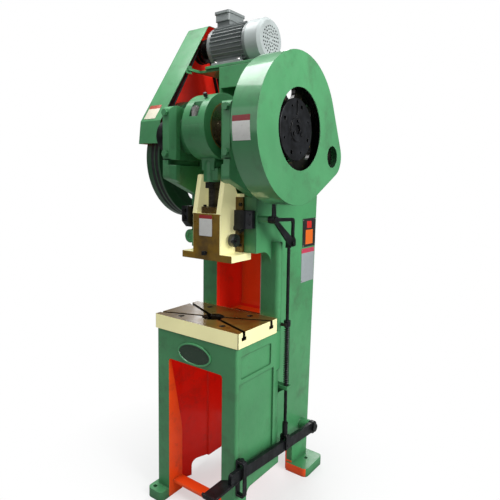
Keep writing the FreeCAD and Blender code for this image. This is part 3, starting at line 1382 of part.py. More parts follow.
def brake_band():
    """Lined band round the brake drum, open at the back where its bolt draws it tight."""
    rim = S["brake"]
    band = ring("band_ring", "X", (crank_y, crank_z), (-264, -232), rim + 5, rim + 0.3)
    gap = block("band_gap", (-270, -226), (crank_y + rim - 18, crank_y + rim + 22),
                (crank_z - 12, crank_z + 12))
    body = remove("band_open", band, [gap])
    ears = [block(f"band_ear{n}", (-264, -232), (crank_y + rim - 1, crank_y + rim + 34),
                  (crank_z + low, crank_z + low + 7)) for n, low in enumerate((12, -19))]
    bolt = bar("band_bolt", "Z", (-248, crank_y + rim + 22), (crank_z - 30, crank_z + 44), 5)
    anchor = bar("band_anchor", "X", (crank_y + rim + 22, crank_z - 26), (-248, -S["cheek_out"]), 8)
    return join("band_solid", [body, bolt, anchor] + ears)


# ---------------------------------------------------------------- treadle and trip linkage

ARM_LEFT = 228
ARM_RIGHT = 244
arm_front = -foot_y - 1
ROD_PIN_Z = 230.0


def arm_height(y):
    """Middle of the treadle arm at a place along it."""
    return S["pedal_z"] + S["pedal_rise"] * (S["pedal_y"] - y) / (S["pedal_y"] - arm_front)


def tread_level():
    """Top of the tread, which the arm's front end sits on."""
    return arm_height(arm_front - 34) - 20


def treadle_arm():
    tip = arm_front - 34
    outline = [(S["pedal_y"] + 4, S["pedal_z"] - 24), (S["pedal_y"] + 4, S["pedal_z"] + 24),
               (tip, arm_height(tip) + 22), (tip, arm_height(tip) - 24)]
    body = plate("arm_bar", "X", outline, (ARM_LEFT, ARM_RIGHT), [(outline[2], 12)])
    hub = bar("arm_hub", "X", (S["pedal_y"], S["pedal_z"]), (226, ARM_RIGHT + 2), 29)
    slot = block("arm_pin_slot", (ARM_LEFT - 1, ARM_RIGHT + 1), (S["trip_y"] - 8, S["trip_y"] + 8),
                 (ROD_PIN_Z - 7.2, ROD_PIN_Z + 7.2))
    level = tread_level()
    seat = block("arm_seat", (ARM_LEFT - 1, ARM_RIGHT + 1), (tip - 1, arm_front + 6), (level - 20, level))
    return remove("arm_solid", join("arm_whole", [body, hub]), [
        bar("arm_bore", "X", (S["pedal_y"], S["pedal_z"]), (220, 250), 12.05), slot, seat])


def treadle_pin():
    centre = (S["pedal_y"], S["pedal_z"])
    return join("treadle_pin_solid", [bar("treadle_pin_stem", "X", centre, (192, 250), 11.98),
                                      bar("treadle_pin_cap", "X", centre, (ARM_RIGHT + 3, 256), 19)])


def treadle_plate():
    level = tread_level()
    outline = [(188, -444), (246, -444), (246, -300), (224, -300), (188, -330)]
    tread = plate("tread", "Z", outline, (level - 8, level), [((188, -444), 10), ((246, -444), 10)])
    lip = block("tread_lip", (190, 244), (-444, -436), (level - 1, level + 9))
    return join("tread_solid", [tread, lip])


def treadle_guide():
    """Stirrup on the front leg that keeps the arm in line."""
    base = S["base_half"]
    near, far = S["base_front"] + 2, S["base_front"] + 22
    loop = plate("guide_loop", "Y", [(base, 160), (base + 39, 160), (base + 39, 306), (base, 306)],
                 (near, far), [((base + 39, 160), 12), ((base + 39, 306), 12)])
    space = block("guide_space", (base + 6, base + 33), (near - 1, far + 1), (168, 296))
    knob = bar("guide_boss", "Z", (base + 22, near + 10), (305, 314), 9)
    return join("guide_solid", [remove("guide_open", loop, [space]), knob])


def pull_rod():
    """Vertical rod with a fork over the arm and a head for the trip lever."""
    x, y = S["trip_x"], S["trip_y"]
    stem = bar("rod_stem", "Z", (x, y), (320, 1126), S["pull_rod"])
    socket = bar("rod_socket", "Z", (x, y), (272, 332), 12)
    fork = block("rod_fork", (ARM_LEFT - 9, ARM_RIGHT + 9), (y - 12, y + 12), (212, 276))
    gap = block("rod_fork_gap", (ARM_LEFT - 2, ARM_RIGHT + 2), (y - 13, y + 13), (211, 264))
    head = block("rod_head", (x - 11, x + 7), (y - 9, y + 9), (TRIP_SLOT_Z - 18, TRIP_SLOT_Z + 14))
    lower_pin = bar("rod_lower_pin", "X", (y, ROD_PIN_Z), (ARM_LEFT - 12, ARM_RIGHT + 12), 6)
    upper_pin = bar("rod_upper_pin", "X", (y, TRIP_SLOT_Z), (x, x + 26), 5)
    washer = bar("rod_upper_washer", "X", (y, TRIP_SLOT_Z), (x + 20.5, x + 26), 9)
    return join("rod_solid", [stem, socket, remove("rod_fork_open", fork, [gap]), head, lower_pin,
                              upper_pin, washer])


TRIP_SLOT_Z = 1122
TRIP_LEFT = S["trip_x"] + 9


def spring_collar():
    x, y, top = S["trip_x"], S["trip_y"], S["spring_top"]
    body = ring("collar_ring", "Z", (x, y), (top, top + 24), 15, S["pull_rod"])
    screw = bar("collar_screw", "Y", (x, top + 12), (y - 26, y - 8), 4)
    wing = block("collar_wing", (x - 13, x + 13), (y - 30, y - 26), (top + 5, top + 19))
    return join("collar_solid", [body, screw, wing])


def trip_lever():
    """Three-cornered lever above the pull rod, open in its middle and slotted at the rod's pin."""
    y, z = TRIP_PIVOT
    end_y, end_z = S["trip_y"] + 5.6, TRIP_SLOT_Z
    span = (TRIP_LEFT, TRIP_LEFT + 9)
    outline = [(y, z + 9), (y, z - 12), (end_y - 18, end_z - 12), (end_y + 22, end_z - 12),
               (end_y + 22, end_z + 15),
               (end_y + 9, end_z + 32), (end_y + 9, z)]
    body = plate("lever_plate", "X", outline, span, [(outline[6], 14), (outline[2], 8), (outline[3], 8)])
    window = plate("lever_window", "X", [(y + 26, z - 8), (end_y - 5, z - 13), (end_y - 5, end_z + 26)],
                   (TRIP_LEFT - 1, TRIP_LEFT + 10), [((end_y - 5, z - 13), 8)])
    arm = plate("lever_arm", "X", [(y - 14, z + 78), (y - 14, z - 4), (y + 10, z - 4), (y, z + 78)], span,
                [((y - 14, z + 78), 6)])
    hub = bar("lever_hub", "X", TRIP_PIVOT, (227, TRIP_LEFT + 9), 15)
    cuts = [window, bar("lever_bore", "X", TRIP_PIVOT, (220, 260), 9.05),
            block("lever_slot", (TRIP_LEFT - 1, TRIP_LEFT + 10), (S["trip_y"] - 5.6, S["trip_y"] + 17.6),
                  (end_z - 5.8, end_z + 5.8))]
    return remove("lever_solid", join("lever_whole", [body, arm, hub]), cuts)


def trip_pin():
    return join("trip_pin_solid", [bar("trip_pin_stem", "X", TRIP_PIVOT, (192, 259), 8.98),
                                   bar("trip_pin_cap", "X", TRIP_PIVOT, (TRIP_LEFT + 10, TRIP_LEFT + 16),
                                       15)])


def return_spring():
    """Compression spring: half turns of arcs on a rising path, swept in one unbroken tube."""
    wire, radius = S["spring_wire"].number, S["spring_mean"].number
    turns = int(S["spring_turns"].number)
    bottom = S["spring_bottom"].number + wire + 0.3
    top = S["spring_top"].number - wire - 0.3
    pitch = (top - bottom) / turns
    helix = Part.makeHelix(pitch, top - bottom, radius)
    helix.translate(vector(S["trip_x"].number, S["trip_y"].number, bottom))
    start = vector(S["trip_x"].number + radius, S["trip_y"].number, bottom)
    slope = vector(0, 2 * math.pi * radius, pitch)
    profile = Part.Wire(Part.Circle(start, slope, wire).toShape())
    tube = Part.Wire(helix.Edges).makePipeShell([profile], True, True)
    gap = pitch - 2 * wire
    print(f"return spring: least gap between coils {gap:.2f} mm")
    if gap < 0.4:
        raise RuntimeError("the spring's coils touch")
    thing = document.addObject("Part::Feature", "spring_tube")
    thing.Shape = tube
    return thing


# ---------------------------------------------------------------- assembly

def build():
    node("frame_casting", frame_casting())
    node("bolster_plate", bolster())
    node("bolster_bolts", socket_bolts("bolster_bolt", BOLSTER_BOLTS, bolster_top - 17, 12.5, 8, 60))
    for side, word in ((1, "right"), (-1, "left")):
        node(f"bearing_cap_{word}", bearing_cap(word, side))
        node(f"main_bush_{word}", main_bush(word, side))
        node(f"back_shaft_bush_{word}", shaft_bush(word, side))
        node(f"gib_{word}", gib(side))
    node("bearing_cap_bolts", cap_bolts())
    node("gib_screws", gib_screws())
    node("crankshaft", crankshaft())
    node("clutch_disc", clutch_disc())
    node("clutch_disc_bolts", clutch_bolts())
    node("brake_drum", brake_drum())
    node("brake_band", brake_band())
    node("connecting_rod", main_rod())
    node("connecting_rod_cap", rod_cap())
    node("connecting_rod_bolts", rod_bolts())
    node("crankpin_bush", pin_bush())
    node("ball_screw", ball_screw())
    node("ram", ram())
    node("ball_cap", ball_cap())
    node("ball_cap_bolts", socket_bolts("ball_cap_bolt", BALL_CAP_BOLTS, S["ram_top"] + 26, 7, 4.2, 25))
    node("shank_screw", shank_screw())
    node("main_gear", main_gear())
    node("pinion", pinion())
    node("back_shaft", bar("back_shaft_bar", "X", (shaft_y, shaft_z),
                           (S["flywheel_left"] - 12, gear_right + 8),
                           S["back_shaft"]))
    node("flywheel", flywheel())
    node("v_belts", gather("belt_pair", [v_belt(n, x) for n, x in enumerate(belt_places)]))
    node("motor_housing", motor_housing())
    node("motor_fan_cover", fan_cover())
    node("motor_shaft", motor_shaft())
    node("motor_pulley", motor_pulley())
    node("motor_fan", motor_fan())
    node("terminal_box", terminal_box())
    node("terminal_box_lid", terminal_lid())
    node("motor_plate", motor_plate())
    node("motor_stand", motor_bracket())
    node("motor_bolts", hex_bolts("motor_bolt", "Z", MOTOR_BOLTS, S["plate_top"] + 14, 1, 9, 5.4, 38))
    node("motor_stand_bolts", hex_bolts("stand_bolt", "Z", STAND_BOLTS, S["head_top"] + 12, 1, 12, 7.4, 38))
    node("gear_guard", gear_guard())
    node("gear_guard_posts", guard_posts())
    node("gear_guard_shelf", guard_shelf())
    node("belt_guard", belt_guard())
    node("belt_guard_arms", belt_guard_arms())
    node("treadle_arm", treadle_arm())
    node("treadle_pin", treadle_pin())
    node("treadle_plate", treadle_plate())
    node("treadle_guide", treadle_guide())
    node("pull_rod", pull_rod())
    node("spring_collar", spring_collar())
    node("return_spring", return_spring())
    node("trip_lever", trip_lever())
    node("trip_lever_pin", trip_pin())
    node("trip_bracket", trip_bracket())
    node("ram_roller", trip_roller())


def check_and_export():
    document.recompute()
    for thing in document.Objects:
        if "Invalid" in thing.State or "Error" in thing.State:
            raise RuntimeError(f"{thing.Name}: {thing.State}")
    os.makedirs("parts", exist_ok=True)
    for name, thing in nodes.items():
        shape = thing.Shape
        if shape.isNull() or not shape.isValid() or shape.Volume <= 0:
            raise RuntimeError(f"{name}: bad shape")
        shape.exportStep(f"parts/{name}.step")
        box = shape.BoundBox
        sides = ((box.XMin, box.XMax), (box.YMin, box.YMax), (box.ZMin, box.ZMax))
        extent = " ".join(f"{letter} {low:.1f}..{high:.1f}" for letter, (low, high) in zip("XYZ", sides))
        print(f"{name}: {len(shape.Solids)} solid(s), {shape.Volume / 1000:.1f} cm3, {extent}")


build()
check_and_export()
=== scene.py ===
import math

import bmesh
import bpy
from bpy.props import FloatProperty, FloatVectorProperty, IntProperty, PointerProperty
from bpy.types import Operator, Panel, PropertyGroup
from mathutils import Matrix, Vector


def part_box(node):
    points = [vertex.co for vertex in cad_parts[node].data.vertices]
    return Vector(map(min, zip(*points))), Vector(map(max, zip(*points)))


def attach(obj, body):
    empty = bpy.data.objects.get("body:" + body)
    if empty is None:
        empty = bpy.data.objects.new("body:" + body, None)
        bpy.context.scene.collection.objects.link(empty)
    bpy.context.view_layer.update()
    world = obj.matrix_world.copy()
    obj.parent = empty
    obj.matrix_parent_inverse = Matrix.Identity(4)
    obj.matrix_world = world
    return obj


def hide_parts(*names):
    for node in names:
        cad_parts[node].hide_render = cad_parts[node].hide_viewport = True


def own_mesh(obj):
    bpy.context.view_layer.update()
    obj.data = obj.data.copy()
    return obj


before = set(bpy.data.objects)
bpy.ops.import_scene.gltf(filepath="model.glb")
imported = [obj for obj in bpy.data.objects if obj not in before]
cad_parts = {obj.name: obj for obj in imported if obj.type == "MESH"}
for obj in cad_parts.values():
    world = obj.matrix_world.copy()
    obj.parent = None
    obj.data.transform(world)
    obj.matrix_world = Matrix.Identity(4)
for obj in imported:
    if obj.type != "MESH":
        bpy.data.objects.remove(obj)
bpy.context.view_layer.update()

bl_info = {
    "name": "Stamping Press Dresser",
    "version": (1, 0, 0),
    "blender": (4, 5, 0),
    "location": "3D View > Sidebar > Press",
    "description": "Finishes and trims a C-frame stamping press and sets up its studio",
    "category": "Object",
}

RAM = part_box("ram")
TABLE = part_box("bolster_plate")

# Places on the press, in metres. A pair is Y and Z, seen from the press's right side.
CASE_FRONT = -0.276
COLUMN_SIDE = 0.176
GUIDE_FRONT = -0.101
CRANK = (-0.158, 1.572)
CRANKPIN = (-0.158, 1.5995)
ROD_RADIUS = 0.1314
GUARD_RIM = 0.2741
BELT_SLOPE = ((-0.192, 1.643), (0.126, 2.120))
RIVETS = ((0.278, 1.203), (0.390, 1.203), (0.278, 1.081), (0.390, 1.081), (0.272, 1.062), (0.382, 1.062),
          (0.272, 0.914), (0.382, 0.914))
# Lowest and highest corner of the left stop's bracket.
STOP_BOX = (Vector((-0.1755, -0.168, 1.181)), Vector((-0.138, GUIDE_FRONT, 1.272)))

# Turned and pressed profiles, step by step. A pair is an inset's thickness and depth.
OVAL_STEPS = ((0.0015, 0.0015), (0.0050, 0), (0.0015, -0.0028), (0.0080, 0), (0.0010, 0.0008), (0.0012, 0),
              (0.0010, -0.0008))
STOP_STEPS = ((0.009, 0), (0.002, -0.004))
SCREW_STEPS = ((0.0012, 0.0008), (0.0028, 0), (0.0004, -0.0045))
BOSS_STEPS = ((0.002, 0.0015), (0.003, 0.001), (0.011, 0), (0.002, -0.003))
# The oil cup's pairs are a rise and the share that the ring widens by.
CUP_STEPS = ((0.0, 1.9), (0.007, 1.0), (0.0, 0.86), (0.0025, 1.0), (0.0, 1.12), (0.004, 1.0), (0.002, 0.72),
             (0.001, 0.45))

# Colours of what lies on the paint, of painted highlights, and of the plates' plain fields.
DIRT = (0.05, 0.045, 0.03)
CHIPPED = (0.09, 0.075, 0.055)
RUBBED = (0.28, 0.26, 0.24)
# Painted highlight on a rounded edge, with some worn paint.
EDGE_WEAR_AND_HIGHLIGHT = (0.80, 0.52, 0.44)
# Painted highlight: golden glints on oiled faces.
OIL_GLINT = (0.42, 0.33, 0.14)
AMBER_OIL = (0.36, 0.195, 0.004)
WORN_PRINT = (0.30, 0.27, 0.22)
WHITE = (0.88, 0.88, 0.84)
IVORY = (0.80, 0.76, 0.60)
PRINT_BLACK = (0.015, 0.014, 0.013)
PRINT_GREY = (0.36, 0.40, 0.41)
DARK_RED = (0.30, 0.012, 0.020)
BRICK_RED = (0.42, 0.05, 0.02)
BLOOD_RED = (0.42, 0.02, 0.02)
ROSE_RED = (0.55, 0.05, 0.10)
SIGNAL_RED = (0.62, 0.02, 0.012)
SIGNAL_ORANGE = (0.85, 0.16, 0.01)

# The paints give off a little light, which stands for the fill of the workshop's light.
RED_GLOW = 0.11
CREAM_GLOW = 0.32
# How deep the film of paint or oil on the table's and the ram's outer faces counts, in metres.
SKIN = 0.0004

# Each lamp: its name, place, what it looks at, its share of the key light's power, and its width.
LAMPS = (("key", (3.3, -0.1, 2.5), (0, 0, 1.0), 1.0, 2.4),
         ("ceiling", (-0.5, -0.5, 4.2), (0, -0.1, 1.0), 0.86, 2.6),
         ("front", (-1.4, -3.4, 2.2), (0, 0, 1.0), 0.07, 2.0),
         ("back", (-1.8, 3.2, 2.6), (0, 0, 1.2), 0.45, 2.2))
SKY = (0.95, 0.97, 1.0, 1)
SKY_STRENGTH = 0.19
FLOOR_PALE = (0.86, 0.86, 0.86, 1)
FLOOR_UNSEEN = (0.34, 0.34, 0.34, 1)
SENSOR_WIDTH = 36
LENS_SHIFT = (0.023, -0.0512)


# ---------------------------------------------------------------- settings

class PressFinishes(PropertyGroup):
    """Colours and wear of the press."""

    green: FloatVectorProperty(name="Green enamel", description="Colour of the frame and guards",
                               default=(0.072, 0.315, 0.122), size=3, min=0, max=1, subtype="COLOR")
    cream: FloatVectorProperty(name="Cream enamel", description="Colour of the table and ram sides",
                               default=(0.92, 0.87, 0.46), size=3, min=0, max=1, subtype="COLOR")
    red: FloatVectorProperty(name="Deep red", description="Colour inside the frame and guards",
                             default=(0.96, 0.022, 0.008), size=3, min=0, max=1, subtype="COLOR")
    # The orange is also used for painted highlight on the front legs' inner faces, the recess floor and the
    # recess's back wall.
    orange: FloatVectorProperty(name="Orange red", description="Colour of the leg edges and the sill",
                                default=(1.0, 0.100, 0.012), size=3, min=0, max=1, subtype="COLOR")
    motor: FloatVectorProperty(name="Motor grey", description="Colour of the motor",
                               default=(0.25, 0.275, 0.272), size=3, min=0, max=1, subtype="COLOR")
    black: FloatVectorProperty(name="Blackened steel", description="Colour of linkage and clutch",
                               default=(0.010, 0.011, 0.013), size=3, min=0, max=1, subtype="COLOR")
    steel: FloatVectorProperty(name="Bright steel", description="Colour of turned steel",
                               default=(0.46, 0.45, 0.43), size=3, min=0, max=1, subtype="COLOR")
    oil: FloatVectorProperty(name="Oily rust film", description="Colour of oiled machined faces",
                             default=(0.115, 0.064, 0.010), size=3, min=0, max=1, subtype="COLOR")
    wear: FloatProperty(name="Wear", description="How much the edges and faces are worn",
                        default=0.5, min=0, max=1, subtype="FACTOR")


class PressTrim(PropertyGroup):
    """Sizes of the plates and the small trim."""

    plate: FloatProperty(name="Plate thickness", description="Thickness of the thin blank plates",
                         default=0.0012, min=0.0005, max=0.003, unit="LENGTH")
    oval: FloatVectorProperty(name="Oval plate", description="Half the width and half the height of the oval plate",
                              default=(0.090, 0.046), size=2, min=0.03, max=0.12, unit="LENGTH")
    rivet: FloatProperty(name="Rivet radius", description="Radius of the rivets' round heads",
                         default=0.0026, min=0.001, max=0.005, unit="LENGTH")
    cup: FloatProperty(name="Oil cup radius", description="Radius of the oil cup's neck",
                       default=0.0045, min=0.002, max=0.008, unit="LENGTH")
    screw: FloatProperty(name="Stop screw radius", description="Radius of the left stop's screw heads",
                         default=0.0075, min=0.003, max=0.012, unit="LENGTH")
    boss: FloatProperty(name="Boss radius", description="Radius of the round boss on the left guide",
                        default=0.0295, min=0.01, max=0.035, unit="LENGTH")
    coil: FloatProperty(name="Spring radius", description="Radius to the middle of the return spring's wire",
                        default=0.011, min=0.009, max=0.02, unit="LENGTH")
    wire: FloatProperty(name="Wire radius", description="Radius of the return spring's wire",
                        default=0.00175, min=0.0005, max=0.003, unit="LENGTH")
    turns: IntProperty(name="Spring turns", description="Turns of the return spring", default=26, min=4, max=60)


class PressStudio(PropertyGroup):
    """Camera and lights."""

    eye: FloatVectorProperty(name="Camera place", description="Where the photograph was taken from",
                             default=(1.2953, -1.6953, 1.3985), size=3, unit="LENGTH")
    yaw: FloatProperty(name="Yaw", description="Camera turned to the left of the machine's back",
                       default=math.radians(37.2), subtype="ANGLE", unit="ROTATION")
    pitch: FloatProperty(name="Pitch", description="Camera turned down", default=math.radians(5.55),
                         subtype="ANGLE", unit="ROTATION")
    roll: FloatProperty(name="Roll", description="Camera turned about its own axis",
                        default=math.radians(0.65), subtype="ANGLE", unit="ROTATION")
    lens: FloatProperty(name="Focal length", description="Focal length in millimetres on a 36 mm frame",
                        default=34.93, min=10, max=200)
    key: FloatProperty(name="Key light", description="Power of the large soft light", default=136.0,
                       unit="POWER")


# ---------------------------------------------------------------- shader building

class Shader:
    """One procedural finish, put together node by node."""

    def __init__(self, name, roughness=0.4, metallic=0.0, coat=0.0):
        self.material = bpy.data.materials.new(name)
        self.material.use_nodes = True
        self.tree = self.material.node_tree
        self.surface = self.tree.nodes["Principled BSDF"]
        self.surface.inputs["Roughness"].default_value = roughness
        self.surface.inputs["Metallic"].default_value = metallic
        self.surface.inputs["Coat Weight"].default_value = coat
        self.surface.inputs["Coat Roughness"].default_value = 0.10
        self.place = self.add("ShaderNodeTexCoord").outputs["Object"]

    def add(self, kind):
        """A new node of one kind."""
        return self.tree.nodes.new(kind)

    def feed(self, socket, value):
        """Link a socket to another, or give it a plain value."""
        if isinstance(value, bpy.types.NodeSocket):
            self.tree.links.new(value, socket)
        else:
            socket.default_value = value

    def noise(self, scale, detail=4.0, rough=0.55, stretch=(1, 1, 1)):
        """Cloudy pattern about 0.5, drawn out along an axis by stretch."""
        mapping = self.add("ShaderNodeMapping")
        mapping.inputs["Scale"].default_value = stretch
        self.feed(mapping.inputs["Vector"], self.place)
        noise = self.add("ShaderNodeTexNoise")
        noise.inputs["Scale"].default_value = scale
        noise.inputs["Detail"].default_value = detail
        noise.inputs["Roughness"].default_value = rough
        self.feed(noise.inputs["Vector"], mapping.outputs["Vector"])
        return noise.outputs["Fac"]

    def stretch(self, value, low, high, to_low=0.0, to_high=1.0):
        """A value's part between low and high, spread over a new range."""
        remap = self.add("ShaderNodeMapRange")
        for name, setting in (("From Min", low), ("From Max", high), ("To Min", to_low), ("To Max", to_high)):
            remap.inputs[name].default_value = setting
        self.feed(remap.inputs["Value"], value)
        return remap.outputs["Result"]

    def sum(self, operation, first, second=0.0, third=0.0):
        """One arithmetic step."""
        node = self.add("ShaderNodeMath")
        node.operation = operation
        for socket, value in zip(node.inputs, (first, second, third)):
            self.feed(socket, value)
        return node.outputs["Value"]

    def blend(self, share, first, second):
        """The first colour, covered by a share of the second."""
        node = self.add("ShaderNodeMix")
        node.data_type = "RGBA"
        colours = [s for s in node.inputs if s.type == "RGBA"]
        self.feed(node.inputs["Factor"], share)
        for socket, value in zip(colours, (first, second)):
            self.feed(socket, value if isinstance(value, bpy.types.NodeSocket) else (*value[:3], 1.0))
        return [s for s in node.outputs if s.type == "RGBA"][0]

    def edge(self, radius=0.004, spread=0.35):
        """1 along sharp edges, 0 on faces."""
        round_off = self.add("ShaderNodeBevel")
        round_off.samples = 4
        round_off.inputs["Radius"].default_value = radius
        flat = self.add("ShaderNodeNewGeometry").outputs["Normal"]
        dot = self.add("ShaderNodeVectorMath")
        dot.operation = "DOT_PRODUCT"
        self.feed(dot.inputs[0], round_off.outputs["Normal"])
        self.feed(dot.inputs[1], flat)
        return self.stretch(dot.outputs["Value"], 1.0, 1.0 - spread)

    def crevice_shade_and_grime(self, reach, most):
        """Up to a given share in corners and grooves, 0 on open faces: the share of painted shade and grime there.
        """
        hidden = self.add("ShaderNodeAmbientOcclusion")
        hidden.samples = 6
        hidden.inputs["Distance"].default_value = reach
        return self.stretch(hidden.outputs["AO"], 0.35, 0.90, most, 0.0)

    def axes(self):
        """The point's X, Y and Z."""
        split = self.add("ShaderNodeSeparateXYZ")
        self.feed(split.inputs[0], self.place)
        return [split.outputs[letter] for letter in "XYZ"]

    def inside(self, low, high):
        """1 inside a box, given by its lowest and highest corners."""
        result = None
        for along, near, far in zip(self.axes(), low, high):
            test = self.sum("COMPARE", along, (near + far) / 2, (far - near) / 2)
            result = test if result is None else self.sum("MULTIPLY", result, test)
        return result

    def inside_any(self, boxes):
        """1 inside any of several boxes."""
        result = None
        for low, high in boxes:
            test = self.inside(low, high)
            result = test if result is None else self.sum("MAXIMUM", result, test)
        return result

    def facing(self, centre, weights=(1, 1, 0)):
        """1 where a face looks toward an upright axis, or a point, inside the machine."""
        offset = self.add("ShaderNodeVectorMath")
        offset.operation = "SUBTRACT"
        self.feed(offset.inputs[0], self.place)
        offset.inputs[1].default_value = centre
        flat = self.add("ShaderNodeVectorMath")
        flat.operation = "MULTIPLY"
        self.feed(flat.inputs[0], offset.outputs["Vector"])
        flat.inputs[1].default_value = weights
        dot = self.add("ShaderNodeVectorMath")
        dot.operation = "DOT_PRODUCT"
        self.feed(dot.inputs[0], flat.outputs["Vector"])
        self.feed(dot.inputs[1], self.add("ShaderNodeNewGeometry").outputs["Normal"])
        return self.sum("LESS_THAN", dot.outputs["Value"], -1e-5)

    def looking_down(self):
        """1 on faces that look down."""
        split = self.add("ShaderNodeSeparateXYZ")
        self.feed(split.inputs[0], self.add("ShaderNodeNewGeometry").outputs["Normal"])
        return self.sum("LESS_THAN", split.outputs["Z"], -0.5)

    def relief(self, height, distance, strength=1.0, rounding=0.0):
        """A fine bump, over edges that look rounded by a radius."""
        bump = self.add("ShaderNodeBump")
        bump.inputs["Distance"].default_value = distance
        bump.inputs["Strength"].default_value = strength
        self.feed(bump.inputs["Height"], height)
        if rounding:
            round_off = self.add("ShaderNodeBevel")
            round_off.samples = 6
            round_off.inputs["Radius"].default_value = rounding
            self.feed(bump.inputs["Normal"], round_off.outputs["Normal"])
        self.feed(self.surface.inputs["Normal"], bump.outputs["Normal"])

    def finish(self, colour, roughness=None):
        """Set the colour and the roughness, and hand over the material."""
        self.feed(self.surface.inputs["Base Color"], colour)
        if roughness is not None:
            self.feed(self.surface.inputs["Roughness"], roughness)
        return self.material


def shade(colour, factor):
    """A colour made darker or lighter."""
    return tuple(min(1.0, channel * factor) for channel in colour)


def enamel(name, colour, inner=None, mask=None, outer=None, texture=1.0, rounding=0.003, wear=0.5, grime=0.6,
           shadow=0.55, gloss=0.22):
    """Brushed enamel on cast iron or sheet, with a second colour where a mask is 1.

    inner is that colour, and outer a third one: the legs' own orange paint on their edges, and painted highlight on
    the front legs' inner faces, the recess floor and the recess's back wall.
    """
    shader = Shader(name, roughness=0.34, coat=gloss)
    broad = shader.stretch(shader.noise(3.1, 5), 0.35, 0.68)
    fine = shader.noise(160, 3)
    tone = shader.blend(broad, shade(colour, 0.84), shade(colour, 1.12))
    if inner:
        inner_tone = shader.blend(broad, shade(inner, 0.85), shade(inner, 1.1))
        if outer:
            # Orange on the legs' edges is their own paint; on the front legs' inner faces and the recess floor it
            # is painted highlight.
            inner_tone = shader.blend(shader.inside_any(ORANGE_AND_HIGHLIGHT_BOXES), inner_tone, outer)
            # Painted light: the recess's back wall is lightened towards orange.
            lit = shader.sum("MULTIPLY", shader.inside(*RECESS_BACK_PAINTED_LIGHT), 0.6)
            inner_tone = shader.blend(lit, inner_tone, outer)
        covered = mask(shader)
        tone = shader.blend(covered, tone, inner_tone)
        shader.feed(shader.surface.inputs["Emission Color"], inner_tone)
        shader.feed(shader.surface.inputs["Emission Strength"], shader.sum("MULTIPLY", covered, RED_GLOW))
    if outer:
        # Painted highlight, with some worn paint: a pale line along the recess's right edge.
        tone = shader.blend(shader.inside(*RECESS_EDGE), tone, EDGE_WEAR_AND_HIGHLIGHT)
    # Painted shade and grime: corners and grooves darkened by ambient occlusion.
    tone = shader.blend(shader.crevice_shade_and_grime(0.045, shadow), tone, shade(colour, 0.10))
    dirt = shader.sum("MULTIPLY", shader.stretch(shader.noise(7.5, 8, 0.7), 0.52, 0.80), grime)
    tone = shader.blend(dirt, tone, DIRT)
    chips = shader.sum("MULTIPLY", shader.edge(), shader.stretch(shader.noise(42, 6, 0.6), 0.50, 0.62))
    tone = shader.blend(shader.sum("MULTIPLY", chips, wear), tone, CHIPPED)
    shader.relief(shader.sum("ADD", fine, shader.sum("MULTIPLY", shader.noise(26, 4), 2.0)), 0.0006 * texture,
                  0.55, rounding)
    return shader.finish(tone, shader.stretch(shader.noise(19, 5), 0.3, 0.7, 0.29, 0.50))


def bare_metal(name, colour, roughness=0.32, stretch=(1, 1, 1), stain=(0.05, 0.035, 0.02), stained=0.35):
    """Machined metal with fine tool marks and a thin stain of oil."""
    shader = Shader(name, roughness=roughness, metallic=0.9)
    marks = shader.noise(260, 3, 0.6, stretch)
    tone = shader.blend(shader.stretch(marks, 0.3, 0.7), shade(colour, 0.78), shade(colour, 1.15))
    spots = shader.sum("MULTIPLY", shader.stretch(shader.noise(14, 7, 0.65), 0.45, 0.75), stained)
    tone = shader.blend(spots, tone, stain)
    shader.relief(marks, 0.0002, 0.4, 0.0015)
    return shader.finish(tone, shader.stretch(shader.noise(24, 4), 0.3, 0.7, roughness * 0.7, roughness * 1.5))


def oiled_iron(name, colour):
    """A machined cast face under brown preserving oil."""
    shader = Shader(name, roughness=0.28, metallic=0.35, coat=0.3)
    patches = shader.stretch(shader.noise(9, 7, 0.62), 0.34, 0.7)
    tone = shader.blend(patches, shade(colour, 0.45), shade(colour, 1.9))
    # Painted highlight: random golden glints on the oil.
    glints = shader.stretch(shader.noise(60, 5, 0.6), 0.62, 0.72, 0, 0.6)
    tone = shader.blend(glints, tone, OIL_GLINT)
    shader.relief(shader.noise(180, 3), 0.0003, 0.5, 0.002)
    return shader.finish(tone, shader.stretch(shader.noise(16, 5), 0.3, 0.7, 0.18, 0.42))


def black_oxide(name, colour):
    """Blackened steel with rubbed edges."""
    shader = Shader(name, roughness=0.38, metallic=0.55)
    tone = shader.blend(shader.stretch(shader.noise(30, 5), 0.35, 0.7), shade(colour, 0.6), shade(colour, 2.2))
    rubbed = shader.sum("MULTIPLY", shader.edge(0.002), shader.stretch(shader.noise(90, 4), 0.45, 0.62, 0, 0.6))
    tone = shader.blend(rubbed, tone, RUBBED)
    shader.relief(shader.noise(220, 3), 0.00025, 0.5, 0.0012)
    return shader.finish(tone, shader.stretch(shader.noise(40, 4), 0.3, 0.7, 0.3, 0.52))


def threaded(name, colour):
    """Oily steel with the fine rings of a thread."""
    shader = Shader(name, roughness=0.3, metallic=0.7)
    rings = shader.add("ShaderNodeTexWave")
    rings.bands_direction = "Z"
    rings.inputs["Scale"].default_value = 55.0
    rings.inputs["Distortion"].default_value = 0.0
    shader.feed(rings.inputs["Vector"], shader.place)
    patches = shader.stretch(shader.noise(22, 6, 0.6), 0.35, 0.7)
    tone = shader.blend(patches, shade(colour, 0.5), shade(colour, 2.4))
    shader.relief(rings.outputs["Fac"], 0.0015, 0.6)
    return shader.finish(tone, shader.stretch(patches, 0, 1, 0.22, 0.45))


def soft_rubber(name, colour):
    """Dusty belt rubber."""
    shader = Shader(name, roughness=0.75)
    tone = shader.blend(shader.stretch(shader.noise(45, 5), 0.4, 0.7), colour, shade(colour, 2.6))
    shader.relief(shader.noise(300, 3), 0.0003, 0.6)
    return shader.finish(tone)
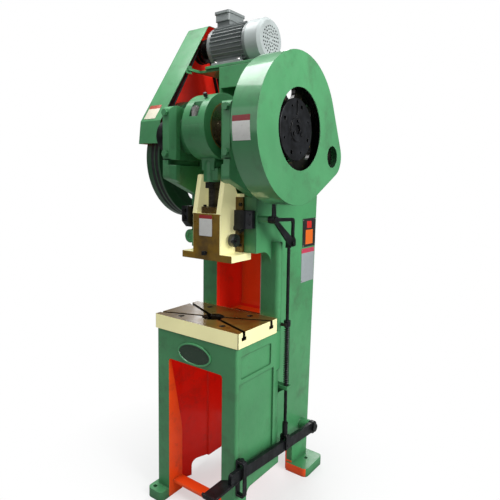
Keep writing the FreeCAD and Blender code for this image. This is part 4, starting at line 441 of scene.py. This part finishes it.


# ---------------------------------------------------------------- finishes of the frame's nodes

# Boxes of the frame where the second and third paint lie, and where painted highlights lie: lowest and highest
# corner, in metres.
RECESS = ((-0.1412, 0.0108, 0.7485), (0.1412, 0.2325, 1.161))
BASE_HOLLOW = ((-0.2045, -0.2765, -0.01), (0.2045, -0.0190, 0.7015))
BASE_REAR = ((-0.1465, -0.0195, -0.01), (0.1465, 0.2400, 0.7015))
FRONT_ARCH = ((-0.2620, -0.2300, -0.01), (0.2620, 0.1000, 0.1515))
REAR_ARCH = ((-0.2620, 0.1000, -0.01), (0.2620, 0.2400, 0.0500))
SILL = ((-0.1475, -0.2510, 0.05), (0.1475, -0.1970, 0.0690))
# The recess's back wall, which gets painted light.
RECESS_BACK_PAINTED_LIGHT = ((-0.1398, 0.2255, 0.7485), (0.1412, 0.2325, 1.161))
RECESS_FLOOR_HIGHLIGHT = ((-0.1412, 0.0108, 0.7485), (0.1412, 0.2325, 0.7600))
# The recess's right edge, where a pale painted highlight lies.
RECESS_EDGE = ((0.1195, 0.0100, 0.7600), (0.1258, 0.0125, 1.0700))
# Orange boxes: the legs' own paint, and painted highlight on the front legs' inner faces and the recess floor.
ORANGE_AND_HIGHLIGHT_BOXES = (((-0.1480, -0.2765, -0.01), (0.1480, -0.1900, 0.64)), REAR_ARCH, RECESS_FLOOR_HIGHLIGHT,
             ((0.2045, -0.2300, -0.01), (0.2620, 0.1000, 0.1515)),
             ((-0.2620, -0.2300, -0.01), (-0.2045, 0.1000, 0.1515)))
UNDERSIDES = ((-0.1465, -0.2765, -0.01), (0.1465, 0.2400, 0.7015))
# Points that the red faces look towards.
BASE_MIDDLE = (0, -0.06, 0)
RECESS_MIDDLE = (0, 0.12, 0)
GUARD_MIDDLE = (-0.330, 0.110, 1.76)


def red_inside(shader):
    """1 on the faces of the frame that look into its recess, its base and its arches."""
    inward = shader.facing(BASE_MIDDLE)
    under = shader.sum("MULTIPLY", shader.looking_down(), shader.inside(*UNDERSIDES))
    hollow = shader.sum("MAXIMUM", inward, under)
    base = shader.sum("MULTIPLY", shader.inside_any((BASE_HOLLOW, BASE_REAR, FRONT_ARCH, REAR_ARCH)), hollow)
    recess = shader.sum("MULTIPLY", shader.inside(*RECESS), shader.facing(RECESS_MIDDLE))
    painted = shader.sum("MAXIMUM", base, recess)
    return shader.sum("MAXIMUM", painted, shader.inside(*SILL))


def red_guard(shader):
    """1 on the inner faces of the belt guard."""
    return shader.facing(GUARD_MIDDLE, (1, 1, 1))


def make_materials(looks):
    """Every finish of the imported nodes, by a short name."""
    return {
        "frame": enamel("green_cast_enamel", looks.green, looks.red, red_inside, looks.orange, 1.3, 0.006,
                        looks.wear),
        "green": enamel("green_sheet_enamel", looks.green, wear=looks.wear, texture=0.5),
        "green_red": enamel("belt_guard_enamel", looks.green, looks.red, red_guard, None, 0.4, 0.003, looks.wear),
        "glossy_green": enamel("gear_guard_enamel", looks.green, wear=looks.wear, texture=0.25, gloss=0.9),
        "dark_green": enamel("flywheel_enamel", shade(looks.green, 0.30), wear=looks.wear, texture=0.8),
        "motor": enamel("motor_enamel", looks.motor, wear=0.2, texture=0.7, grime=0.25, shadow=0.1),
        "pale_motor": enamel("fan_cover_enamel", shade(looks.motor, 2.0), wear=0.2, texture=0.4, grime=0.2,
                             shadow=0.1),
        "steel": bare_metal("turned_steel", looks.steel),
        "oily_steel": bare_metal("oily_steel", (0.27, 0.225, 0.15), 0.25),
        "bronze": bare_metal("bearing_bronze", (0.50, 0.30, 0.10)),
        "black": black_oxide("blackened_steel", looks.black),
        "oil": oiled_iron("oiled_iron", looks.oil),
        "spring": bare_metal("spring_steel", (0.085, 0.088, 0.095), 0.3, stained=0.2),
        "gear": oiled_iron("greased_gear", (0.012, 0.011, 0.009)),
        "screw": threaded("oily_thread", (0.030, 0.026, 0.020)),
        "rubber": soft_rubber("belt_rubber", (0.012, 0.012, 0.013)),
        "table": table_finish(looks),
        "ram": ram_finish(looks),
    }


def table_finish(looks):
    """Cream sides, oiled top, and slots darkened by painted shade."""
    shader = Shader("table_enamel_and_oil", roughness=0.36, coat=0.2)
    patches = shader.stretch(shader.noise(8, 7, 0.62), 0.34, 0.7)
    oiled = shader.blend(patches, shade(looks.oil, 0.55), shade(looks.oil, 1.7))
    painted = shader.blend(shader.stretch(shader.noise(5, 5), 0.35, 0.7), shade(looks.cream, 0.86), looks.cream)
    low, high = TABLE
    near, far = (low.x + SKIN, low.y + SKIN, low.z - 0.01), (high.x - SKIN, high.y - SKIN)
    # Painted shade: the inside of the T-slots is darkened.
    slots = shader.inside(near, (*far, high.z - 0.001))
    oiled = shader.blend(slots, oiled, shade(looks.oil, 0.08))
    middle = shader.inside(near, (*far, high.z + 0.01))
    tone = shader.blend(middle, painted, oiled)
    shader.feed(shader.surface.inputs["Emission Color"], painted)
    shader.feed(shader.surface.inputs["Emission Strength"], shader.stretch(middle, 0, 1, CREAM_GLOW, 0.0))
    shader.relief(shader.noise(120, 4), 0.0004, 0.5, 0.003)
    return shader.finish(tone, shader.stretch(shader.noise(16, 5), 0.3, 0.7, 0.24, 0.46))


def ram_finish(looks):
    """Cream sides, oiled front and underside."""
    shader = Shader("ram_enamel_and_oil", roughness=0.36, coat=0.2)
    patches = shader.stretch(shader.noise(12, 7, 0.62), 0.34, 0.7)
    oiled = shader.blend(patches, shade(looks.oil, 1.1), AMBER_OIL)
    painted = shader.blend(shader.stretch(shader.noise(5, 5), 0.35, 0.7), shade(looks.cream, 0.86), looks.cream)
    low, high = RAM
    front = shader.inside((-0.0755, low.y - 0.01, low.z - 0.01), (0.0755, low.y + SKIN, 1.2495))
    toe = shader.inside((-0.1345, low.y - 0.01, low.z - 0.01), (0.1345, low.y + SKIN, low.z + 0.0281))
    under = shader.inside((-0.14, low.y, low.z - 0.001), (0.14, high.y, low.z + 0.001))
    bare = shader.sum("MAXIMUM", shader.sum("MAXIMUM", front, toe), under)
    tone = shader.blend(bare, painted, oiled)
    shader.feed(shader.surface.inputs["Emission Color"], painted)
    shader.feed(shader.surface.inputs["Emission Strength"], shader.stretch(bare, 0, 1, CREAM_GLOW, 0.0))
    shader.relief(shader.noise(120, 4), 0.0004, 0.5, 0.002)
    return shader.finish(tone, shader.stretch(shader.noise(16, 5), 0.3, 0.7, 0.24, 0.46))


NODE_FINISH = {
    "frame_casting": "frame", "bolster_plate": "table", "bolster_bolts": "black",
    "bearing_cap_right": "green", "bearing_cap_left": "green", "main_bush_right": "bronze",
    "main_bush_left": "bronze", "back_shaft_bush_right": "bronze", "back_shaft_bush_left": "bronze",
    "gib_right": "oil", "gib_left": "oil", "bearing_cap_bolts": "green", "gib_screws": "black",
    "crankshaft": "oily_steel", "clutch_disc": "black", "clutch_disc_bolts": "black", "brake_drum": "gear",
    "brake_band": "black", "connecting_rod": "green", "connecting_rod_cap": "green",
    "connecting_rod_bolts": "steel", "crankpin_bush": "bronze", "ball_screw": "screw", "ram": "ram",
    "ball_cap": "oil", "ball_cap_bolts": "black", "shank_screw": "black", "main_gear": "gear",
    "pinion": "gear", "back_shaft": "gear", "flywheel": "dark_green", "v_belts": "rubber",
    "motor_housing": "motor", "motor_fan_cover": "pale_motor", "motor_shaft": "steel", "motor_pulley": "gear",
    "motor_fan": "black", "terminal_box": "motor", "terminal_box_lid": "motor", "motor_plate": "green",
    "motor_stand": "green", "motor_bolts": "steel", "motor_stand_bolts": "steel", "gear_guard": "glossy_green",
    "gear_guard_posts": "steel", "gear_guard_shelf": "green", "belt_guard": "green_red",
    "belt_guard_arms": "green", "treadle_arm": "black", "treadle_pin": "black", "treadle_plate": "black",
    "treadle_guide": "black", "pull_rod": "black", "spring_collar": "black", "return_spring": "spring",
    "trip_lever": "black", "trip_lever_pin": "black", "trip_bracket": "black", "ram_roller": "spring",
}


class PRESS_OT_finishes(Operator):
    """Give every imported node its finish"""

    bl_idname = "press.finishes"
    bl_label = "Finish the castings and guards"

    def execute(self, context):
        materials = make_materials(context.scene.press_finishes)
        for name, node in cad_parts.items():
            node.data.materials.clear()
            node.data.materials.append(materials[NODE_FINISH[name]])
        return {"FINISHED"}


# ---------------------------------------------------------------- shaping by operators

def start(operator, name, **settings):
    """Add a primitive, alone in the selection."""
    bpy.ops.object.select_all(action="DESELECT")
    operator(**settings)
    piece = bpy.context.active_object
    piece.name = name
    piece.data.name = name
    bpy.ops.object.transform_apply(location=True, rotation=True, scale=True)
    return piece


def choose(piece, kind, test):
    """Enter edit mode with the elements that pass a test selected."""
    bpy.context.view_layer.objects.active = piece
    bpy.ops.object.mode_set(mode="EDIT")
    bpy.ops.mesh.select_mode(type=kind)
    bpy.ops.mesh.select_all(action="DESELECT")
    shape = bmesh.from_edit_mesh(piece.data)
    pools = {"VERT": shape.verts, "EDGE": shape.edges, "FACE": shape.faces}
    for element in pools[kind]:
        element.select_set(test(element))
    bmesh.update_edit_mesh(piece.data)


def leave():
    """Turn the faces outwards and leave edit mode."""
    bpy.ops.mesh.select_all(action="SELECT")
    bpy.ops.mesh.normals_make_consistent(inside=False)
    bpy.ops.object.mode_set(mode="OBJECT")


def press_in(steps):
    """Inset the selected faces step by step."""
    for thickness, depth in steps:
        bpy.ops.mesh.inset(thickness=thickness, depth=depth)


def dress(piece, material, body):
    """Finish a piece: its material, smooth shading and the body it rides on."""
    piece.data.materials.clear()
    piece.data.materials.append(material)
    bpy.ops.object.select_all(action="DESELECT")
    piece.select_set(True)
    bpy.context.view_layer.objects.active = piece
    bpy.ops.object.shade_smooth_by_angle(angle=math.radians(35))
    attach(piece, body)
    return piece


def repeat(piece, name, shift):
    """A copy of a finished piece, with its own mesh, moved."""
    twin = piece.copy()
    twin.data = piece.data.copy()
    twin.name = twin.data.name = name
    bpy.context.collection.objects.link(twin)
    twin.data.transform(Matrix.Translation(shift))
    return twin


def thin_plate(name, middle, size, thin, corner, turn=(0, 0, 0)):
    """A thin plate with rounded corners. Its face looks along the axis that thin counts, before its turn."""
    bpy.ops.object.select_all(action="DESELECT")
    bpy.ops.mesh.primitive_cube_add(size=1, location=middle, rotation=turn)
    plate = bpy.context.active_object
    plate.name = name
    plate.scale = size
    bpy.ops.object.transform_apply(location=False, rotation=False, scale=True)
    choose(plate, "EDGE", lambda edge: abs(abs(direction(edge)[thin]) - 1) < 0.01)
    bpy.ops.mesh.bevel(offset=corner, segments=5, affect="EDGES")
    leave()
    choose(plate, "FACE", lambda face: abs(abs(face.normal[thin]) - 1) < 0.01)
    bpy.ops.mesh.inset(thickness=corner * 0.25, depth=min(size) * 0.15)
    leave()
    bpy.ops.object.transform_apply(location=True, rotation=True, scale=True)
    return plate


def direction(edge):
    """The way an edge runs."""
    return (edge.verts[1].co - edge.verts[0].co).normalized()


def banded(name, ground, fields):
    """A printed plate: a ground colour and plain fields of other colours inside boxes."""
    shader = Shader(name, roughness=0.35, coat=0.4)
    tone = shader.blend(shader.stretch(shader.noise(60, 4), 0.3, 0.7), shade(ground, 0.93), ground)
    for box, colour in fields:
        tone = shader.blend(shader.inside(*box), tone, colour)
    worn = shader.sum("MULTIPLY", shader.stretch(shader.noise(95, 6, 0.7), 0.60, 0.74), 0.5)
    tone = shader.blend(worn, tone, WORN_PRINT)
    shader.relief(shader.noise(240, 3), 0.0002, 0.4)
    return shader.finish(tone, shader.stretch(shader.noise(50, 4), 0.3, 0.7, 0.26, 0.48))


class PRESS_OT_oval_plate(Operator):
    """Add the oval blank plate with its raised rim on the front of the base"""

    bl_idname = "press.oval_plate"
    bl_label = "Oval plate"

    def execute(self, context):
        depth = 0.004
        middle = Vector((0.0, CASE_FRONT - depth / 2, 0.678))
        plate = start(bpy.ops.mesh.primitive_cylinder_add, "oval_plate", vertices=72, radius=1, depth=depth,
                      location=middle, rotation=(math.pi / 2, 0, 0), scale=(*context.scene.press_trim.oval, 1))
        choose(plate, "FACE", lambda face: face.normal.y < -0.9)
        press_in(OVAL_STEPS)
        leave()
        looks = context.scene.press_finishes
        field = ((-0.0835, middle.y - 0.0017, 0.640), (0.0835, middle.y + 0.0030, 0.716))
        finish = banded("oval_plate_enamel", shade(looks.green, 1.25), ((field, shade(looks.green, 0.14)),))
        dress(plate, finish, "frame")
        return {"FINISHED"}


def curved_plate(name, radius, start_angle, end_angle, across, thick):
    """A thin plate bent round the crankshaft's axis: its end section, swept by a spin."""
    reach = radius + thick / 2
    middle = Vector((sum(across) / 2, CRANK[0] + reach * math.cos(start_angle),
                     CRANK[1] + reach * math.sin(start_angle)))
    bpy.ops.object.select_all(action="DESELECT")
    bpy.ops.mesh.primitive_plane_add(size=1, location=middle, rotation=(start_angle, 0, 0))
    plate = bpy.context.active_object
    plate.name = name
    plate.scale = (across[1] - across[0], thick, 1)
    bpy.ops.object.transform_apply(location=True, rotation=True, scale=True)
    choose(plate, "FACE", lambda face: True)
    bpy.ops.mesh.spin(steps=12, angle=end_angle - start_angle, center=(middle.x, *CRANK), axis=(-1, 0, 0))
    bpy.ops.mesh.select_all(action="SELECT")
    bpy.ops.mesh.remove_doubles(threshold=1e-6)
    leave()
    return plate


class PRESS_OT_guard_plates(Operator):
    """Add the blank plates on the gear guard's rim, the belt guard and the ram"""

    bl_idname = "press.guard_plates"
    bl_label = "Guard plates"

    def execute(self, context):
        thick = context.scene.press_trim.plate
        self.rim_plate(thick)
        self.belt_plate(thick)
        self.ram_plate(thick)
        return {"FINISHED"}

    def rim_plate(self, thick):
        """The plate bent round the front of the gear guard's rim."""
        rim = curved_plate("guard_rim_plate", GUARD_RIM, math.radians(174.5), math.radians(191.5),
                           (0.306, 0.377), thick)
        band = ((0.30, -0.50, 1.5795), (0.38, -0.40, 1.62))
        dress(rim, banded("rim_plate_print", WHITE, ((band, DARK_RED),)), "frame")

    def belt_plate(self, thick):
        """The plate low on the belt guard's sloping front."""
        (low_y, low_z), (high_y, high_z) = BELT_SLOPE
        slope = math.atan2(high_z - low_z, high_y - low_y)
        out = Vector((0, -math.sin(slope), math.cos(slope)))
        middle = Vector((-0.357, -0.164, 1.685)) + out * (thick / 2)
        belt = thin_plate("belt_guard_plate", middle, (0.072, 0.078, thick), 2, 0.003, (slope, 0, 0))
        band = ((-0.40, -0.20, 1.7010), (-0.30, -0.10, 1.73))
        dress(belt, banded("belt_plate_print", IVORY, ((band, BRICK_RED),)), "frame")

    def ram_plate(self, thick):
        """The plate on the ram's front."""
        front = RAM[0].y - thick / 2
        ram = thin_plate("ram_plate", (-0.003, front, 1.2010), (0.068, thick, 0.086), 1, 0.003)
        band = ((-0.05, front - 0.01, 1.2290), (0.05, front + 0.01, 1.25))
        dress(ram, banded("ram_plate_print", WHITE, ((band, BLOOD_RED),)), "slide")


class PRESS_OT_column_plates(Operator):
    """Add the two blank plates with their rivets on the right side of the column"""

    bl_idname = "press.column_plates"
    bl_label = "Column plates"

    def execute(self, context):
        trim = context.scene.press_trim
        side = COLUMN_SIDE + trim.plate / 2
        upper = thin_plate("control_plate", (side, 0.334, 1.1420), (trim.plate, 0.122, 0.134), 0, 0.003)
        fields = ((((0.17, 0.3010, 1.0870), (0.18, 0.3690, 1.1550)), SIGNAL_ORANGE),
                  (((0.17, 0.3120, 1.1630), (0.18, 0.3560, 1.1960)), SIGNAL_RED))
        dress(upper, banded("control_plate_print", PRINT_BLACK, fields), "frame")
        lower = thin_plate("maker_plate", (side, 0.327, 0.9880), (trim.plate, 0.120, 0.160), 0, 0.003)
        band = ((0.17, 0.25, 1.0470), (0.18, 0.40, 1.07))
        dress(lower, banded("maker_plate_print", PRINT_GREY, ((band, ROSE_RED),)), "frame")
        self.rivets(COLUMN_SIDE + trim.plate, trim.rivet)
        return {"FINISHED"}

    def rivets(self, side, radius):
        """Round heads at the plates' corners: one is modelled and the others are its copies."""
        first = Vector((side, *RIVETS[0]))
        rivet = start(bpy.ops.mesh.primitive_uv_sphere_add, "plate_rivet_0", segments=16, ring_count=8,
                      radius=radius, location=first)
        choose(rivet, "FACE", lambda face: True)
        bpy.ops.mesh.bisect(plane_co=first, plane_no=(1, 0, 0), clear_inner=True, use_fill=True)
        leave()
        dress(rivet, bpy.data.materials["turned_steel"], "frame")
        for number, (y, z) in enumerate(RIVETS[1:], 1):
            twin = repeat(rivet, f"plate_rivet_{number}", Vector((0, y - first.y, z - first.z)))
            dress(twin, bpy.data.materials["turned_steel"], "frame")


class PRESS_OT_oiler(Operator):
    """Add the oil cup on the connecting rod's big end"""

    bl_idname = "press.oiler"
    bl_label = "Oil cup"

    def execute(self, context):
        top = 0.006
        cup = start(bpy.ops.mesh.primitive_cylinder_add, "oil_cup", vertices=24,
                    radius=context.scene.press_trim.cup, depth=top, location=(0, 0, top / 2))
        choose(cup, "FACE", lambda face: face.normal.z > 0.9)
        for rise, widen in CUP_STEPS:
            bpy.ops.mesh.extrude_region_move(TRANSFORM_OT_translate={"value": (0, 0, rise)})
            top += rise
            bpy.ops.transform.resize(value=(widen, widen, 1), center_override=(0, 0, top))
        leave()
        lean = math.radians(35)
        cup.rotation_euler = (lean, 0, 0)
        cup.location = (0.022, CRANKPIN[0] - ROD_RADIUS * math.sin(lean),
                        CRANKPIN[1] + ROD_RADIUS * math.cos(lean))
        bpy.ops.object.transform_apply(location=True, rotation=True, scale=True)
        dress(cup, bpy.data.materials["greased_gear"], "rod")
        return {"FINISHED"}


class PRESS_OT_left_stop(Operator):
    """Add the dark stop bracket with its screws, and the round boss, on the left guide"""

    bl_idname = "press.left_stop"
    bl_label = "Left stop"

    def execute(self, context):
        trim = context.scene.press_trim
        black = bpy.data.materials["blackened_steel"]
        self.bracket(black)
        self.screws(black, trim.screw)
        self.boss(bpy.data.materials["green_sheet_enamel"], trim.boss)
        return {"FINISHED"}

    def bracket(self, black):
        """A block with a sloping lower front and a pocket in its outer side."""
        low, high = STOP_BOX
        bracket = start(bpy.ops.mesh.primitive_cube_add, "left_stop_bracket", size=1,
                        location=(low + high) / 2, scale=high - low)
        choose(bracket, "EDGE", lambda edge: all(v.co.y < low.y + 1e-4 and v.co.z < low.z + 1e-4
                                                 for v in edge.verts))
        bpy.ops.mesh.bevel(offset=0.026, segments=1, affect="EDGES")
        leave()
        choose(bracket, "FACE", lambda face: face.normal.x < -0.9)
        press_in(STOP_STEPS)
        leave()
        choose(bracket, "EDGE", lambda edge: edge.calc_face_angle(0) > 1.2)
        bpy.ops.mesh.bevel(offset=0.0016, segments=2, affect="EDGES")
        leave()
        dress(bracket, black, "frame")

    def screws(self, black, radius):
        """Two socket screws on the bracket's front, one above the other."""
        head = 0.009
        screw = start(bpy.ops.mesh.primitive_cylinder_add, "left_stop_screw_0", vertices=32, radius=radius,
                      depth=head, location=(-0.157, STOP_BOX[0].y - head / 2, 1.255),
                      rotation=(math.pi / 2, 0, 0))
        choose(screw, "FACE", lambda face: face.normal.y < -0.9)
        press_in(SCREW_STEPS)
        leave()
        dress(screw, black, "frame")
        dress(repeat(screw, "left_stop_screw_1", Vector((0, 0, -0.030))), black, "frame")

    def boss(self, green, radius):
        """The round boss below the bracket."""
        depth = 0.045
        boss = start(bpy.ops.mesh.primitive_cylinder_add, "left_guide_boss", vertices=56, radius=radius,
                     depth=depth, location=(-0.146, GUIDE_FRONT - depth / 2, 1.141), rotation=(math.pi / 2, 0, 0))
        choose(boss, "FACE", lambda face: face.normal.y < -0.9)
        press_in(BOSS_STEPS)
        leave()
        dress(boss, green, "frame")


class PRESS_OT_spring(Operator):
    """Wind the return spring at its rest length, fixed to the frame; on the press it shortens as the pull rod comes
    down
    """

    bl_idname = "press.spring"
    bl_label = "Return spring"

    def execute(self, context):
        trim = context.scene.press_trim
        low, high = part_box("return_spring")
        middle = (low + high) / 2
        tall = high.z - low.z
        coil = start(bpy.ops.mesh.primitive_circle_add, "return_spring_coil", vertices=12, radius=trim.wire,
                     location=(trim.coil, 0, 0), rotation=(math.pi / 2, 0, 0))
        wind = coil.modifiers.new("wind", "SCREW")
        wind.axis = "Z"
        wind.angle = 2 * math.pi
        wind.screw_offset = (tall - 2 * trim.wire) / trim.turns
        wind.iterations = trim.turns
        wind.steps = wind.render_steps = 24
        wind.use_merge_vertices = True
        bpy.ops.object.modifier_apply(modifier="wind")
        choose(coil, "EDGE", lambda edge: len(edge.link_faces) == 1)
        bpy.ops.mesh.fill_holes(sides=0)
        bpy.ops.mesh.select_all(action="SELECT")
        bpy.ops.transform.translate(value=(middle.x, middle.y, low.z + trim.wire))
        leave()
        dress(coil, bpy.data.materials["spring_steel"], "frame")
        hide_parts("return_spring")
        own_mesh(coil)
        return {"FINISHED"}


# ---------------------------------------------------------------- studio

class PRESS_OT_studio(Operator):
    """Set up the pale floor, the soft lights and the camera"""

    bl_idname = "press.studio"
    bl_label = "Studio"

    def execute(self, context):
        studio = context.scene.press_studio
        self.floor()
        self.world(context.scene)
        for name, place, target, share, size in LAMPS:
            self.lamp(name, place, target, studio.key * share, size)
        self.camera(context.scene, studio)
        context.scene.view_settings.view_transform = "Standard"
        return {"FINISHED"}

    def floor(self):
        """A pale floor that fades to the white of the background away from the machine."""
        bpy.ops.mesh.primitive_plane_add(size=40, location=(0, 0, 0))
        floor = bpy.context.active_object
        floor.name = "studio_floor"
        shader = Shader("pale_floor", roughness=0.95)
        shader.surface.inputs["Base Color"].default_value = FLOOR_PALE
        nodes, links = shader.tree.nodes, shader.tree.links
        dull = nodes.new("ShaderNodeBsdfDiffuse")
        dull.inputs["Color"].default_value = FLOOR_UNSEEN
        white = nodes.new("ShaderNodeEmission")
        away = nodes.new("ShaderNodeVectorMath")
        away.operation = "LENGTH"
        links.new(shader.place, away.inputs[0])
        share = shader.stretch(away.outputs["Value"], 0.30, 1.00, 0.55, 1.0)
        near = nodes.new("ShaderNodeMixShader")
        links.new(share, near.inputs[0])
        links.new(shader.surface.outputs[0], near.inputs[1])
        links.new(white.outputs[0], near.inputs[2])
        seen = nodes.new("ShaderNodeMixShader")
        links.new(nodes.new("ShaderNodeLightPath").outputs["Is Camera Ray"], seen.inputs[0])
        links.new(dull.outputs[0], seen.inputs[1])
        links.new(near.outputs[0], seen.inputs[2])
        links.new(seen.outputs[0], nodes["Material Output"].inputs["Surface"])
        floor.data.materials.append(shader.material)

    def world(self, scene):
        """A dim sky for the light, seen as white by the camera."""
        world = bpy.data.worlds.new("studio_world")
        scene.world = world
        world.use_nodes = True
        nodes, links = world.node_tree.nodes, world.node_tree.links
        lighting = nodes["Background"]
        lighting.inputs["Color"].default_value = SKY
        lighting.inputs["Strength"].default_value = SKY_STRENGTH
        seen = nodes.new("ShaderNodeBackground")
        seen.inputs["Color"].default_value = (1, 1, 1, 1)
        seen.inputs["Strength"].default_value = 1.0
        path = nodes.new("ShaderNodeLightPath")
        mix = nodes.new("ShaderNodeMixShader")
        links.new(path.outputs["Is Camera Ray"], mix.inputs[0])
        links.new(lighting.outputs[0], mix.inputs[1])
        links.new(seen.outputs[0], mix.inputs[2])
        links.new(mix.outputs[0], nodes["World Output"].inputs["Surface"])

    def lamp(self, name, place, target, power, size):
        """One square soft lamp."""
        light = bpy.data.lights.new(name, "AREA")
        light.energy = power
        light.size = size
        lamp = bpy.data.objects.new(name, light)
        bpy.context.collection.objects.link(lamp)
        lamp.location = place
        lamp.rotation_euler = (Vector(target) - Vector(place)).to_track_quat("-Z", "Y").to_euler()

    def camera(self, scene, studio):
        """The camera at the photograph's place and angle."""
        data = bpy.data.cameras.new("photo_camera")
        camera = bpy.data.objects.new("photo_camera", data)
        bpy.context.collection.objects.link(camera)
        turn = (Matrix.Rotation(studio.yaw, 4, "Z") @ Matrix.Rotation(math.pi / 2 - studio.pitch, 4, "X")
                @ Matrix.Rotation(studio.roll, 4, "Z"))
        camera.matrix_world = Matrix.Translation(Vector(studio.eye)) @ turn
        data.lens = studio.lens
        data.sensor_width = SENSOR_WIDTH
        data.shift_x, data.shift_y = LENS_SHIFT
        data.clip_end = 60
        scene.camera = camera


# ---------------------------------------------------------------- add-on

class PRESS_PT_tools(Panel):
    """The settings and the operators, in the order they run"""

    bl_label = "Stamping press"
    bl_idname = "PRESS_PT_tools"
    bl_space_type = "VIEW_3D"
    bl_region_type = "UI"
    bl_category = "Press"

    def draw(self, context):
        scene = context.scene
        for settings in (scene.press_finishes, scene.press_trim, scene.press_studio):
            for name in settings.bl_rna.properties.keys():
                if name not in ("rna_type", "name"):
                    self.layout.prop(settings, name)
        for operator in OPERATORS:
            self.layout.operator(operator.bl_idname)


OPERATORS = (PRESS_OT_finishes, PRESS_OT_oval_plate, PRESS_OT_guard_plates, PRESS_OT_column_plates,
             PRESS_OT_oiler, PRESS_OT_left_stop, PRESS_OT_spring, PRESS_OT_studio)
CLASSES = (PressFinishes, PressTrim, PressStudio) + OPERATORS + (PRESS_PT_tools,)


def register():
    for cls in CLASSES:
        bpy.utils.register_class(cls)
    bpy.types.Scene.press_finishes = PointerProperty(type=PressFinishes)
    bpy.types.Scene.press_trim = PointerProperty(type=PressTrim)
    bpy.types.Scene.press_studio = PointerProperty(type=PressStudio)


def unregister():
    del bpy.types.Scene.press_studio
    del bpy.types.Scene.press_trim
    del bpy.types.Scene.press_finishes
    for cls in reversed(CLASSES):
        bpy.utils.unregister_class(cls)


def main():
    register()
    for operator in OPERATORS:
        group, name = operator.bl_idname.split(".")
        if getattr(getattr(bpy.ops, group), name)() != {"FINISHED"}:
            raise RuntimeError(f"{operator.bl_idname} did not finish")


if __name__ == "__main__":
    main()
